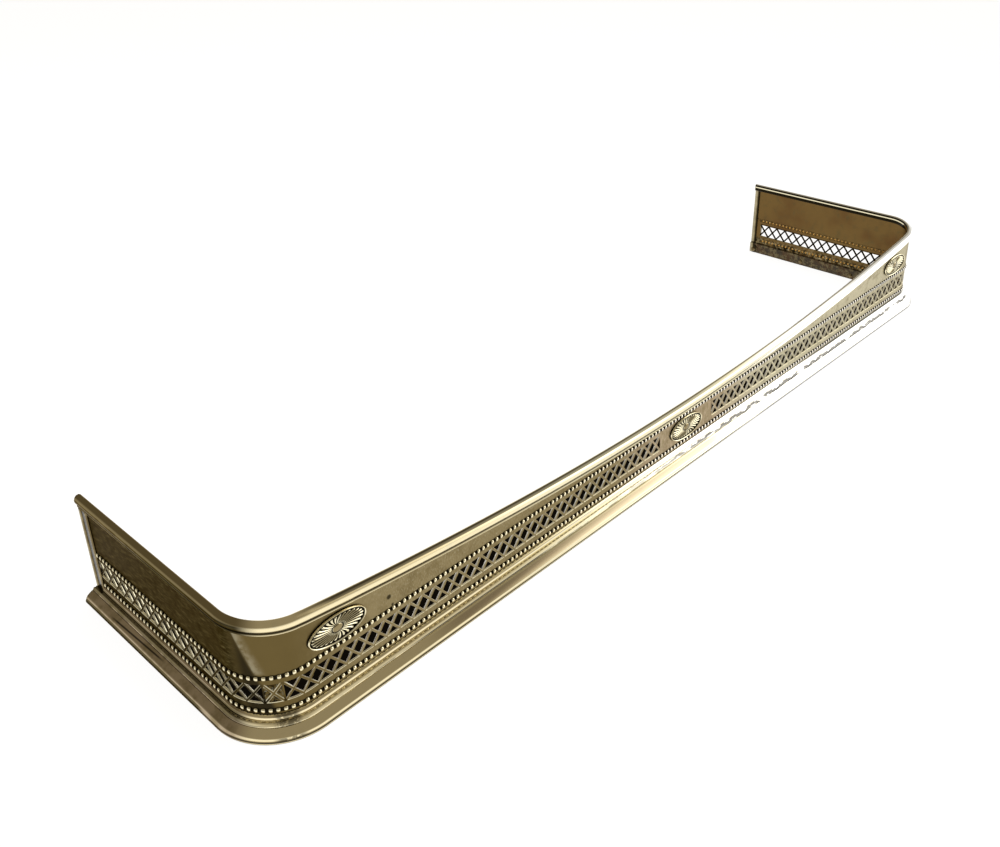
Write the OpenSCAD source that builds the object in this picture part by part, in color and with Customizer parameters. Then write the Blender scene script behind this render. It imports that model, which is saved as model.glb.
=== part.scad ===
// Brass fire fender: a pierced gallery bent round three sides of a hearth, with a dipped top rail
// and a hollow base moulding. The origin is under the middle of the fender, on the hearth.
// +X runs along the front, the front faces -Y and the two returns run back to +Y.

/* [Overall] */
// Width across the base moulding
fender_w = 1244; // [900:2:1600]
// Depth from the front of the base moulding to the rear ends
fender_d = 305; // [240:1:400]
// Height of the rail above the hearth, at the corners and the returns
fender_h = 120; // [112:1:150]
// How far the rail dips at the middle of the front
rail_dip = 45.5; // [20:0.5:46]
// Inward lean of the gallery, in degrees
gallery_lean = 2.5; // [0:0.5:4]

/* [Gallery] */
// Thickness of the gallery's brass sheet
gallery_sheet = 0.8; // [0.6:0.1:1.2]
// Outside radius of the gallery's corners at the foot
corner_r = 52; // [40:1:80]
// Length of one lattice cell along the strip
lattice_pitch = 15.25; // [12:0.05:20]
// Height of the pierced lattice
lattice_h = 19; // [14:0.5:22]
// Height of the lattice's middle above the hearth
lattice_z = 41.8; // [38:0.1:44]
// Width of a lattice bar
lattice_bar = 2.4; // [1.2:0.1:3]
// Plain length at each rear end of the strip
lattice_end_margin = 15.5; // [12:0.5:40]
// Length of the plain patch round the middle medallion
middle_patch = 104; // [80:1:140]
// How far that patch's middle sits to the left of the fender's middle
patch_shift = 7; // [0:0.5:20]
// How far the middle medallion sits to the left of the fender's middle
middle_shift = 9.5; // [0:0.5:20]

/* [Beads] */
// Step between two beads of a row
bead_pitch = 6.3; // [5.5:0.1:9]
// Diameter of a bead on the sheet
bead_d = 4.7; // [3:0.1:5]
// How far a bead stands out of the sheet
bead_rise = 1.7; // [0.8:0.1:2]
// Height of the lower row of beads
lower_bead_z = 23.4; // [22:0.1:26]
// Height of the upper row of beads
upper_bead_z = 58.9; // [56:0.1:60]

/* [Medallions] */
// Length of a medallion
medallion_w = 62; // [40:1:70]
// Height of a medallion
medallion_h = 29; // [20:1:30]
// How far a medallion stands out of the gallery
medallion_rise = 3; // [2:0.5:5]
// Distance from the corner's outside to the middle of an outer medallion
medallion_inset = 86; // [84:1:200]
// Number of flutes round a medallion
medallion_flutes = 28; // [16:2:36]

/* [Top rail] */
// Height of the rail's outer side
rail_h = 13.2; // [11:0.2:14]
// How far the rail stands out of the gallery on its outer side
rail_out = 3.3; // [2.6:0.1:5]
// How far the rail stands over on the inner side of the sheet
rail_in = 3.8; // [3.4:0.1:6]
// Thickness of the rail's brass
rail_wall = 0.9; // [0.7:0.1:1.1]

/* [Base moulding] */
// How far the base moulding stands out from the gallery's foot
base_out = 15.5; // [14:0.5:20]
// Height of the fillet's top edge on the gallery
base_top_z = 18.6; // [17.5:0.1:19]
// Height of the leg behind the gallery's foot
base_leg_h = 10; // [9.6:0.1:10.5]
// Thickness of the base moulding's brass
base_wall = 0.8; // [0.6:0.1:0.9]

/* [Foot bar and fixings] */
// Height of the iron bar inside the foot
bar_h = 16; // [12:0.5:18]
// Thickness of the iron bar
bar_t = 2.5; // [2:0.5:4]
// Diameter of a foot screw
screw_d = 4; // [3:0.5:4]
// Diameter of a screw's round head
screw_head_d = 7.5; // [6:0.5:8]
// Height of the screws above the hearth
screw_z = 6; // [5.5:0.1:6.2]
// Distance from the rear end to the rearmost screw
screw_end_inset = 6.5; // [6:0.5:10]
// Step between the screws on a return
return_screw_step = 90; // [60:1:100]
// Number of screws on each return, with the rearmost one
return_screws = 3; // [2:1:3]
// Number of screws along the front
front_screws = 10; // [4:1:14]

/* [End posts] */
// Width of the outer side of an end post
post_w = 16.5; // [15:0.5:20]
// Width of the inner side of an end post
post_inner_w = 8; // [6:0.5:10]
// Thickness of an end post's brass
post_wall = 1; // [0.8:0.1:1.2]

/* [Hidden] */

// Room between two pieces that are seated on each other
fit = 0.1;
// Room round a pin or screw in its hole
hole_room = 0.2;
// Height of the gallery's lower edge above the hearth
gallery_foot_z = 0.6;
// Thickness of the caps that close the hollow ends
cap_t = 0.8;

half_w = fender_w / 2 - base_out;
front_y = base_out - fender_d / 2;
rear_y = fender_d / 2;
straight_x = half_w - corner_r;
corner_y = front_y + corner_r;
lean_slope = tan(gallery_lean);

// The rail keeps clear of the upper beads, and its dip ends on the inner face of the returns
dip = min(rail_dip, fender_h - rail_h - upper_bead_z - bead_d / 2);
dip_x = half_w - lean_slope * fender_h - gallery_sheet;
dip_r = (dip_x * dip_x + dip * dip) / (2 * dip);
rail_inner_h = 0.82 * rail_h;
gallery_top_z = fender_h - rail_wall - 6 * fit;
corner_steps = 12;
front_steps = 28;

// An end post stands on the moulding at this height
post_foot_z = 12.2;
post_top = fender_h - rail_h - 3 * fit;

screw_back = gallery_sheet + bar_t + 2 * fit;
screw_end = 3.9;
screw_head_h = 2.4;
screw_head_r = (pow(screw_head_d / 2, 2) + pow(screw_head_h, 2)) / (2 * screw_head_h);
nut_w = 7;
nut_t = 2.4;
// The screws keep this far from where the corners start to bend
return_screw_room = 8;
front_screw_room = 30;
return_screw_reach = rear_y - corner_y - screw_end_inset - return_screw_room;
return_step = min(return_screw_step, return_screw_reach / (return_screws - 1));
front_step = 2 * (straight_x - front_screw_room) / (front_screws - 1);

// ---- Placing ----

// Runs a section round the fender: its x is the distance out from the gallery's foot, its y the height
module round_the_fender(rear_gap = 0) {
    translate([-straight_x, front_y, 0])
        rotate([90, 0, 90])
            linear_extrude(2 * straight_x)
                mirror([1, 0])
                    children();
    for (side = [0, 1]) {
        mirror([side, 0, 0]) {
            translate([straight_x, corner_y, 0])
                rotate([0, 0, 270])
                    rotate_extrude(angle = 90, $fn = 128)
                        translate([corner_r, 0])
                            children();
            translate([half_w, rear_y - rear_gap, 0])
                rotate([90, 0, 0])
                    linear_extrude(rear_y - rear_gap - corner_y)
                        children();
        }
    }
}

function corner_radius_at(z) = corner_r - lean_slope * z;
function corner_length_at(z) = corner_radius_at(z) * PI / 2;
function half_length_at(z) = straight_x + corner_length_at(z) + rear_y - corner_y;

// Puts a piece on the gallery's outer face, along the strip from the front's middle, at height z.
// The piece's +Z points out of the face and its +Y up the face.
module on_gallery(along, z) {
    side = along < 0 ? -1 : 1;
    past_straight = max(0, abs(along) - straight_x);
    turn = min(90, 90 * past_straight / corner_length_at(z));
    past_corner = max(0, past_straight - corner_length_at(z));
    translate([side * min(abs(along), straight_x), corner_y, 0])
        rotate([0, 0, side * turn])
            translate([side * past_corner, -corner_radius_at(z), z])
                rotate([90 - gallery_lean, 0, 0])
                    children();
}

// A section that leans with the gallery, between two distances out of its face
module leaning_strip(inner, outer, low_z, high_z) {
    polygon([
        [inner - lean_slope * low_z, low_z],
        [outer - lean_slope * low_z, low_z],
        [outer - lean_slope * high_z, high_z],
        [inner - lean_slope * high_z, high_z]
    ]);
}

// ---- Gallery panel ----

cell_slope = atan2(lattice_h, lattice_pitch);
bar_dx = lattice_bar / 2 / sin(cell_slope);
bar_dz = lattice_bar / 2 / cos(cell_slope);

// The front's cells run from the middle patch a third of the way round each corner. A return's cells
// run from its rear end half way round its corner, and the sheet is whole between the two.
front_reach = straight_x + corner_length_at(lattice_z) / 3;
return_reach = straight_x + corner_length_at(lattice_z) / 2;
return_end = half_length_at(lattice_z) - lattice_end_margin;
return_cells = floor((return_end - return_reach) / lattice_pitch);
function patch_edge(side) = middle_patch / 2 - side * patch_shift;
function front_cells(side) = floor((front_reach - patch_edge(side)) / lattice_pitch);

module hole_through_gallery() {
    translate([0, 0, -gallery_sheet - 1])
        linear_extrude(gallery_sheet + 2)
            children();
}

module lattice_triangles() {
    for (flip = [-1, 1]) {
        polygon([
            [bar_dx - lattice_pitch / 2, flip * lattice_h / 2],
            [lattice_pitch / 2 - bar_dx, flip * lattice_h / 2],
            [0, flip * bar_dz]
        ]);
    }
}

module lattice_diamond() {
    polygon([
        [bar_dx - lattice_pitch / 2, 0],
        [0, bar_dz - lattice_h / 2],
        [lattice_pitch / 2 - bar_dx, 0],
        [0, lattice_h / 2 - bar_dz]
    ]);
}

module lattice_half_diamond(side) {
    polygon([
        [0, bar_dz - lattice_h / 2],
        [side * (lattice_pitch / 2 - bar_dx), 0],
        [0, lattice_h / 2 - bar_dz]
    ]);
}

// A run of cells that starts that far from the fender's middle, with half diamonds at its two ends
module lattice_run(side, start, cells) {
    for (cell = [0:cells - 1]) {
        on_gallery(side * (start + (cell + 0.5) * lattice_pitch), lattice_z)
            hole_through_gallery()
                lattice_triangles();
    }
    for (cell = [1:cells - 1]) {
        on_gallery(side * (start + cell * lattice_pitch), lattice_z)
            hole_through_gallery()
                lattice_diamond();
    }
    on_gallery(side * start, lattice_z)
        hole_through_gallery()
            lattice_half_diamond(side);
    on_gallery(side * (start + cells * lattice_pitch), lattice_z)
        hole_through_gallery()
            lattice_half_diamond(-side);
}

module lattice_holes() {
    for (side = [-1, 1]) {
        lattice_run(side, patch_edge(side), front_cells(side));
        lattice_run(side, return_end - return_cells * lattice_pitch, return_cells);
    }
}

// One pressed bead on the gallery's face
module bead() {
    translate([0, 0, -gallery_sheet / 2])
        cylinder(h = gallery_sheet / 2 + 0.4 * bead_rise, d = bead_d, $fn = 24);
    translate([0, 0, 0.4 * bead_rise])
        cylinder(h = 0.6 * bead_rise, d1 = bead_d, d2 = 0.5 * bead_d, $fn = 24);
}

// Puts a bead on every step of a row, clear of the end posts
module bead_row(z) {
    reach = half_length_at(z) - post_w - bead_d / 2;
    steps = floor(reach / bead_pitch);
    for (bead = [-steps:steps]) {
        on_gallery(bead * bead_pitch, z)
            children();
    }
}

module dip_cutter() {
    translate([0, corner_y, gallery_top_z - dip + dip_r])
        rotate([90, 0, 0])
            cylinder(h = corner_r + 10, r = dip_r, $fn = 1440);
}

module gallery_panel() {
    color("darkgoldenrod")
        difference() {
            union() {
                difference() {
                    round_the_fender(post_wall + fit)
                        leaning_strip(-gallery_sheet, 0, gallery_foot_z, gallery_top_z);
                    dip_cutter();
                }
                for (z = [lower_bead_z, upper_bead_z]) {
                    bead_row(z)
                        bead();
                }
            }
            lattice_holes();
            foot_holes();
            medallion_pin_holes();
        }
}

// ---- Top rail ----

// Height of the rail's top over a point that far from the fender's middle
function rail_top_z(x) = abs(x) >= dip_x
    ? fender_h
    : fender_h - dip + dip_r - sqrt(dip_r * dip_r - x * x);

// The rail's outline from its outer lip over the top to its inner lip: distance out, height under the top
rail_inner_o = -gallery_sheet - rail_in;
rail_outline = [
    [1.5 * fit, -rail_h],
    [0.36 * rail_out, -rail_h],
    [0.54 * rail_out, -0.94 * rail_h],
    [0.52 * rail_out, -0.85 * rail_h],
    [0.3 * rail_out, -0.8 * rail_h],
    [0.4 * rail_out, -0.74 * rail_h],
    [0.79 * rail_out, -0.62 * rail_h],
    [rail_out, -0.47 * rail_h],
    [rail_out, -0.35 * rail_h],
    [0.73 * rail_out, -0.18 * rail_h],
    [0.36 * rail_out, -0.07 * rail_h],
    [0, -0.02 * rail_h],
    [0.22 * rail_inner_o, 0],
    [0.57 * rail_inner_o, -0.01 * rail_h],
    [0.87 * rail_inner_o, -0.08 * rail_h],
    [rail_inner_o, -0.2 * rail_h],
    [rail_inner_o, -0.64 * rail_h],
    [0.91 * rail_inner_o, -0.74 * rail_h],
    [0.7 * rail_inner_o, -0.8 * rail_h],
    [-gallery_sheet - 1.5 * fit, -rail_inner_h]
];
// The hollow inside it, from the inner lip back to the outer one
rail_hollow = [
    [-gallery_sheet - 1.5 * fit, -rail_inner_h + rail_wall],
    [0.65 * rail_inner_o, -0.8 * rail_h + rail_wall],
    [rail_inner_o + rail_wall + 0.1, -0.66 * rail_h],
    [rail_inner_o + rail_wall, -0.22 * rail_h],
    [0.57 * rail_inner_o, -0.01 * rail_h - rail_wall - 0.2],
    [0.22 * rail_inner_o, -rail_wall],
    [0.2 * rail_out, -0.05 * rail_h - rail_wall],
    [rail_out - rail_wall - 0.5, -0.27 * rail_h],
    [rail_out - rail_wall, -0.38 * rail_h],
    [rail_out - rail_wall - 0.1, -0.47 * rail_h],
    [0.34 * rail_out, -0.65 * rail_h],
    [1.5 * fit, -0.74 * rail_h]
];

// Places of the rail's sections: x and y of the foot line's middle of bend, and the angle of the bend
function side_stations(side) = [
    [side * straight_x, rear_y - cap_t, 90],
    for (step = [0:corner_steps]) [side * straight_x, corner_y, 90 - 90 * step / corner_steps]
];
function reversed(list) = [for (i = [len(list) - 1:-1:0]) list[i]];
function signed(list, side) = [for (s = list) [s[0], s[1], side * s[2]]];
rail_stations = concat(
    signed(side_stations(-1), -1),
    [for (step = [1:front_steps - 1]) [-straight_x + 2 * straight_x * step / front_steps, corner_y, 0]],
    reversed(side_stations(1))
);
rail_points = [
    for (s = rail_stations)
        let (top = rail_top_z(s[0] + sin(s[2]) * (corner_r - lean_slope * fender_h)))
            for (p = concat(rail_outline, rail_hollow))
                let (reach = corner_r + p[0] - lean_slope * (top + p[1]))
                    [s[0] + sin(s[2]) * reach, s[1] - cos(s[2]) * reach, top + p[1]]
];
rail_n = len(rail_outline) + len(rail_hollow);

module top_rail() {
    last = len(rail_stations) - 1;
    color("goldenrod")
        polyhedron(
            points = rail_points,
            faces = concat(
                [[for (i = [0:rail_n - 1]) i]],
                [[for (i = [rail_n - 1:-1:0]) last * rail_n + i]],
                [
                    for (s = [0:last - 1])
                        for (i = [0:rail_n - 1])
                            let (j = (i + 1) % rail_n)
                                each [
                                    [s * rail_n + i, (s + 1) * rail_n + i, s * rail_n + j],
                                    [s * rail_n + j, (s + 1) * rail_n + i, (s + 1) * rail_n + j]
                                ]
                ]
            ),
            convexity = 10
        );
}

module rail_cap(side) {
    color("goldenrod")
        translate([side * half_w, rear_y, 0])
            rotate([90, 0, 0])
                linear_extrude(cap_t)
                    polygon([
                        for (p = rail_outline)
                            [side * (p[0] - lean_slope * (fender_h + p[1])), fender_h + p[1]]
                    ]);
}

// ---- Base moulding ----

// The gallery's outer face at height z, with room for a seated piece
function seat(z) = fit - lean_slope * z;

base_skin = [
    [seat(base_top_z), base_top_z],
    [0.6, base_top_z - 0.7],
    [1.5, base_top_z - 2],
    [1.8, base_top_z - 3.6],
    [1.8, post_foot_z + 1],
    [1.2, post_foot_z],
    [0.36 * base_out, 10.2],
    [0.385 * base_out, 9.5],
    [0.42 * base_out, 9.7],
    [0.62 * base_out, 8.2],
    [0.79 * base_out, 6.5],
    [0.9 * base_out, 4.4],
    [0.925 * base_out, 3.4],
    [0.975 * base_out, 2.4],
    [base_out, 1.2],
    [base_out, 0]
];
base_hollow = [
    [base_out - base_wall, base_wall],
    [base_out - base_wall, 1.1],
    [0.975 * base_out - 0.8 * base_wall, 2.4 - 0.5 * base_wall],
    [0.925 * base_out - base_wall, 3.4 - 0.3 * base_wall],
    [0.9 * base_out - 0.9 * base_wall, 4.4 - 0.5 * base_wall],
    [0.79 * base_out - 0.6 * base_wall, 6.5 - 0.8 * base_wall],
    [0.62 * base_out - 0.4 * base_wall, 8.2 - 0.9 * base_wall],
    [0.42 * base_out, 9.7 - 1.1 * base_wall],
    [0.36 * base_out - 0.2 * base_wall, 10.2 - base_wall],
    [0.5, post_foot_z - 0.8],
    [0.4, post_foot_z],
    [1.8 - base_wall, post_foot_z + 1.2],
    [1.8 - base_wall, base_top_z - 3.6],
    [1.5 - 0.9 * base_wall, base_top_z - 2.3],
    [0.6 - 0.5 * base_wall, base_top_z - 0.7 - 0.8 * base_wall],
    [seat(base_top_z - base_wall), base_top_z - base_wall]
];

module base_section() {
    polygon(concat(
        base_skin,
        [
            [seat(0), 0],
            [seat(base_leg_h), base_leg_h],
            [seat(base_leg_h) + base_wall, base_leg_h],
            [seat(base_wall) + base_wall, base_wall]
        ],
        base_hollow
    ));
}

// Takes the fillet away where an end post stands on the moulding
module post_relief() {
    for (side = [0, 1]) {
        mirror([side, 0, 0])
            translate([half_w - 4, rear_y - post_w - 4 * fit, post_foot_z])
                cube([8, post_w + 4, base_top_z]);
    }
}

module base_moulding() {
    color("goldenrod")
        difference() {
            round_the_fender(cap_t)
                base_section();
            foot_holes();
            post_relief();
        }
}

module base_cap(side) {
    color("goldenrod")
        translate([side * half_w, rear_y, 0])
            rotate([90, 0, 0])
                linear_extrude(cap_t)
                    polygon([
                        for (p = concat([[seat(post_foot_z), post_foot_z]],
                            [for (i = [5:len(base_skin) - 1]) base_skin[i]], [[seat(0), 0]]))
                            [side * p[0], p[1]]
                    ]);
}

// ---- Foot bar, screws and nuts ----

function return_screw(k) = half_length_at(screw_z) - screw_end_inset - k * return_step;
function front_screw(k) = (k - (front_screws - 1) / 2) * front_step;

module at_front_screws() {
    for (k = [0:front_screws - 1]) {
        on_gallery(front_screw(k), screw_z)
            children();
    }
}

// The screws of one return, in front of the one that holds the end post
module at_return_screws(side) {
    for (k = [1:return_screws - 1]) {
        on_gallery(side * return_screw(k), screw_z)
            children();
    }
}

module foot_hole() {
    translate([0, 0, -screw_back - 2])
        cylinder(h = screw_back + 4, r = screw_d / 2 + hole_room, $fn = 24);
}

module foot_holes() {
    at_front_screws()
        foot_hole();
    for (side = [-1, 1]) {
        at_return_screws(side)
            foot_hole();
        on_gallery(side * return_screw(0), screw_z)
            foot_hole();
    }
}

// A round-headed screw from the inside: its head bears on a face that far behind the gallery's outer face
module screw(back) {
    translate([0, 0, -back])
        cylinder(h = back + screw_end, r = screw_d / 2, $fn = 24);
    translate([0, 0, -back])
        difference() {
            intersection() {
                translate([0, 0, screw_head_r - screw_head_h])
                    sphere(r = screw_head_r, $fn = 32);
                translate([0, 0, -screw_head_h])
                    cylinder(h = screw_head_h, r = screw_head_d, $fn = 16);
            }
            translate([0, 0, -screw_head_h])
                cube([screw_head_d, 1, 2], center = true);
        }
}

module nut() {
    translate([0, 0, seat(0) + base_wall + fit])
        difference() {
            translate([-nut_w / 2, -nut_w / 2, 0])
                cube([nut_w, nut_w, nut_t]);
            translate([0, 0, -1])
                cylinder(h = nut_t + 2, r = screw_d / 2 + fit, $fn = 24);
        }
}

module foot_bar() {
    color("dimgray")
        difference() {
            round_the_fender(post_wall + fit)
                leaning_strip(fit - screw_back, -gallery_sheet - fit, 0, bar_h);
            foot_holes();
        }
}

module front_foot_screws() {
    color("peru")
        at_front_screws()
            screw(screw_back);
}

module return_foot_screws(side) {
    color("peru")
        at_return_screws(side)
            screw(screw_back);
}

module front_foot_nuts() {
    color("peru")
        at_front_screws()
            nut();
}

module return_foot_nuts(side) {
    color("peru")
        at_return_screws(side)
            nut();
}

module post_screw(side) {
    color("peru")
        on_gallery(side * return_screw(0), screw_z)
            screw(screw_back + post_wall + fit);
}

module post_nut(side) {
    color("peru")
        on_gallery(side * return_screw(0), screw_z)
            nut();
}

// ---- End posts ----

// A low round ridge along the post, between two distances from the rear end
module post_ridge(from, to, base, rise) {
    half = (to - from) / 2;
    r = (half * half + rise * rise) / (2 * rise);
    intersection() {
        translate([base + rise - r, -(from + to) / 2])
            circle(r = r, $fn = 64);
        translate([base - 0.1, -to])
            square([rise + 1, to - from]);
    }
}

module post_outer_section() {
    translate([fit, -post_w])
        square([post_wall * 0.7, post_w]);
    post_ridge(0, 0.35 * post_w, fit + post_wall * 0.7, 1.2);
    post_ridge(0.67 * post_w, post_w, fit + post_wall * 0.7, 0.8);
}

module post_inner_section() {
    translate([-gallery_sheet - fit - post_wall, -post_inner_w])
        square([post_wall, post_inner_w]);
    mirror([1, 0])
        post_ridge(0.65 * post_inner_w, post_inner_w, gallery_sheet + fit + post_wall, 0.5);
}

// The foot of the post, on the inner face of the bar, with a round front end
module post_tab() {
    translate([-screw_back - post_wall, 0, 0])
        rotate([90, 0, 90])
            linear_extrude(post_wall)
                union() {
                    translate([-screw_end_inset, 1])
                        square([screw_end_inset, bar_h]);
                    translate([-screw_end_inset, 1 + screw_end_inset])
                        circle(r = screw_end_inset, $fn = 48);
                }
}

module end_post() {
    low = post_foot_z + 2 * fit;
    bar_top = bar_h + 2 * fit;
    color("goldenrod")
        difference() {
            translate([half_w, rear_y, 0])
                rotate([0, -gallery_lean, 0]) {
                    translate([0, 0, low])
                        linear_extrude(post_top - low)
                            post_outer_section();
                    translate([0, 0, bar_top])
                        linear_extrude(fender_h - rail_inner_h - 3 * fit - bar_top)
                            post_inner_section();
                    translate([-gallery_sheet - fit - post_wall, -post_wall, bar_top])
                        cube([gallery_sheet + post_wall + 3 * fit, post_wall, post_top - bar_top]);
                    translate([-screw_back - post_wall, -screw_end_inset, bar_top])
                        cube([screw_back - gallery_sheet, screw_end_inset, post_wall]);
                    post_tab();
                }
            on_gallery(return_screw(0), screw_z)
                translate([0, 0, -screw_back - post_wall - 1])
                    cylinder(h = post_wall + 2, r = screw_d / 2 + hole_room, $fn = 24);
        }
}

// ---- Medallions ----

outer_medallion_x = min(half_w - medallion_inset, straight_x - medallion_w / 2 - 1);
// The outer ones stand this far over the upper beads
medallion_room = 1.7;
outer_medallion_z = upper_bead_z + bead_d / 2 + medallion_room + medallion_h / 2;
medallion_rim = 2.2;
medallion_pin_r = 1.5;
medallion_pin_share = 0.3;

module ellipse(w, h) {
    polygon([for (a = [0:5:355]) [w / 2 * cos(a), h / 2 * sin(a)]]);
}

module medallion_pins(r) {
    for (share = [-medallion_pin_share, medallion_pin_share]) {
        translate([share * medallion_w, 0, -gallery_sheet - 0.6])
            cylinder(h = gallery_sheet + 1.4, r = r, $fn = 24);
    }
}

// One raised flute of a medallion, between two angles of the oval
module flute(from, to) {
    inner = [medallion_w * 0.13, medallion_h * 0.16];
    outer = [medallion_w / 2 - medallion_rim - 0.4, medallion_h / 2 - medallion_rim - 0.4];
    polygon([
        [inner[0] * cos(from), inner[1] * sin(from)],
        [outer[0] * cos(from), outer[1] * sin(from)],
        [outer[0] * cos(to), outer[1] * sin(to)],
        [inner[0] * cos(to), inner[1] * sin(to)]
    ]);
}

// A pressed oval with a raised rim, a small boss and flutes that spread from it
module medallion() {
    step = 360 / medallion_flutes;
    color("gold") {
        translate([0, 0, fit])
            linear_extrude(medallion_rise * 0.4)
                ellipse(medallion_w, medallion_h);
        translate([0, 0, fit])
            linear_extrude(medallion_rise - fit)
                difference() {
                    ellipse(medallion_w, medallion_h);
                    ellipse(medallion_w - 2 * medallion_rim, medallion_h - 2 * medallion_rim);
                }
        translate([0, 0, fit])
            linear_extrude(medallion_rise * 0.8)
                ellipse(medallion_w * 0.22, medallion_h * 0.28);
        translate([0, 0, fit])
            linear_extrude(medallion_rise * 0.65) {
                for (k = [0:medallion_flutes - 1]) {
                    flute(step * (k + 0.2), step * (k + 0.8));
                }
            }
        medallion_pins(medallion_pin_r);
    }
}

module at_outer_medallion(side) {
    on_gallery(side * outer_medallion_x, outer_medallion_z)
        children();
}

module at_middle_medallion() {
    on_gallery(-middle_shift, lattice_z)
        children();
}

module medallion_pin_holes() {
    for (side = [-1, 1]) {
        at_outer_medallion(side)
            medallion_pins(medallion_pin_r + hole_room);
    }
    at_middle_medallion()
        medallion_pins(medallion_pin_r + hole_room);
}

// ---- Nodes ----

module left_end_post() {
    mirror([1, 0, 0])
        end_post();
}

module right_end_post() {
    end_post();
}

module left_medallion() {
    at_outer_medallion(-1)
        medallion();
}

module middle_medallion() {
    at_middle_medallion()
        medallion();
}

module right_medallion() {
    at_outer_medallion(1)
        medallion();
}

gallery_panel();
top_rail();
base_moulding();
foot_bar();
left_end_post();
right_end_post();
left_medallion();
middle_medallion();
right_medallion();
rail_cap(-1);  // left_rail_cap
rail_cap(1);  // right_rail_cap
base_cap(-1);  // left_base_cap
base_cap(1);  // right_base_cap
return_foot_screws(-1);  // left_foot_screws
front_foot_screws();
return_foot_screws(1);  // right_foot_screws
return_foot_nuts(-1);  // left_foot_nuts
front_foot_nuts();
return_foot_nuts(1);  // right_foot_nuts
post_screw(-1);  // left_post_screw
post_screw(1);  // right_post_screw
post_nut(-1);  // left_post_nut
post_nut(1);  // right_post_nut
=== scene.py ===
import math
from collections import namedtuple

import bpy
from bpy.props import FloatProperty, FloatVectorProperty, IntProperty, PointerProperty
from mathutils import Matrix, Vector


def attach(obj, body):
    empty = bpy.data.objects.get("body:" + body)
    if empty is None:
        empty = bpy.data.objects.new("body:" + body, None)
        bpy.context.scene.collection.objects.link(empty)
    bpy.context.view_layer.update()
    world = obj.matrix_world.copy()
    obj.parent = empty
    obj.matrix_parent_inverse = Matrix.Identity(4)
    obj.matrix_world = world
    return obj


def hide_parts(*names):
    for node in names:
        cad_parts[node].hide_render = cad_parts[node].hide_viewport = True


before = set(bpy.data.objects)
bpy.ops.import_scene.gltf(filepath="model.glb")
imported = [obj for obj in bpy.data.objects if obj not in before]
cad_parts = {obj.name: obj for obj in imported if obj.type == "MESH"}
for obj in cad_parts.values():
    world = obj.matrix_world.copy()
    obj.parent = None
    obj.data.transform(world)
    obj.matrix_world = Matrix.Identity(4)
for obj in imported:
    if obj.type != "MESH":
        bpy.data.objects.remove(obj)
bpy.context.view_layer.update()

bl_info = {
    "name": "Fire fender",
    "version": (1, 0, 0),
    "blender": (4, 5, 0),
    "location": "3D View > Sidebar > Fender",
    "description": "Builds a brass fire fender round its packed frame, with its stage",
    "category": "Object",
}

BODY = "root"
MM = 0.001
# Points closer than this are merged into one
MERGED = 1e-5


# ---- Sizes and finishes that can be set ----


def length(name, description, default_mm, low_mm=0.0):
    """A length property, given in millimetres and kept in metres."""
    return FloatProperty(
        name=name, description=description, default=default_mm * MM, min=low_mm * MM,
        unit="LENGTH", subtype="DISTANCE",
    )


def angle(name, description, default_degrees):
    return FloatProperty(
        name=name, description=description, default=math.radians(default_degrees), unit="ROTATION"
    )


def level(name, description, default):
    return FloatProperty(name=name, description=description, default=default)


def colour(name, description, default):
    return FloatVectorProperty(
        name=name, description=description, default=default, size=3, min=0.0, max=1.0, subtype="COLOR"
    )


class FenderShape(bpy.types.PropertyGroup):
    """The line that the fender follows round the hearth."""

    foot_half_width: length("Half width", "From the middle to the gallery's foot", 606.5, 100)
    foot_front: length("Front", "From the middle back to the front face of the gallery's foot", 137, 10)
    rear: length("Rear", "From the middle to the rear ends", 152.5, 10)
    corner_radius: length("Corner radius", "Outside radius of the gallery's foot at the corners", 52, 10)
    height: length("Height", "Top of the rail over the hearth at the corners", 120, 50)
    rail_dip: length("Rail dip", "How far the rail dips at the middle of the front", 45.5)
    lean: angle("Lean", "Inward lean of the gallery", 2.5)


class GalleryPattern(bpy.types.PropertyGroup):
    """The sheet of the gallery with its lattice and its two rows of beads."""

    sheet: length("Sheet", "Thickness of the brass sheet", 0.8, 0.3)
    foot: length("Foot", "Height of the sheet's lower edge", 0.6)
    rear_gap: length("Rear gap", "From the rear ends to the sheet's ends", 1.1)
    lattice_pitch: length("Lattice pitch", "Length of one lattice cell", 15.25, 5)
    lattice_height: length("Lattice height", "Height of the pierced band", 19, 5)
    lattice_middle: length("Lattice middle", "Height of the middle of the lattice", 41.8)
    lattice_bar: length("Lattice bar", "Width of a lattice bar", 2.4, 0.5)
    lattice_end: length("Plain end", "Plain length at each rear end", 15.5)
    patch: length("Middle patch", "Plain length round the middle medallion", 104)
    patch_shift: length("Patch shift", "How far the middle patch sits to the left", 7)
    lattice_depth: length("Lattice depth", "How deep the edges of the openings are turned in", 1.9, 0.8)
    worn_edge: length("Worn edge", "How far the edges of the openings are worn round", 0.3)
    bead_pitch: length("Bead pitch", "Step between two beads", 6.3, 2)
    bead_width: length("Bead width", "Diameter of a bead", 4.9, 1)
    bead_rise: length("Bead rise", "How far a bead stands out", 1.9, 0.3)
    bead_low: length("Lower beads", "Height of the lower row", 23.4)
    bead_high: length("Upper beads", "Height of the upper row", 58.9)
    bead_end: length("Bead end", "Plain length of a row at each rear end", 18.85)


class MedallionPlan(bpy.types.PropertyGroup):
    """The pressed ovals on the front."""

    shift: length("Middle shift", "How far the middle oval sits to the left", 9.5)
    outer_place: length("Outer place", "From the middle to an outer oval's middle", 520.5)
    outer_height: length("Outer height", "Height of an outer oval's middle", 77.45)
    flutes: IntProperty(name="Flutes", description="Number of flutes round an oval", default=28, min=8)


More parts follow.
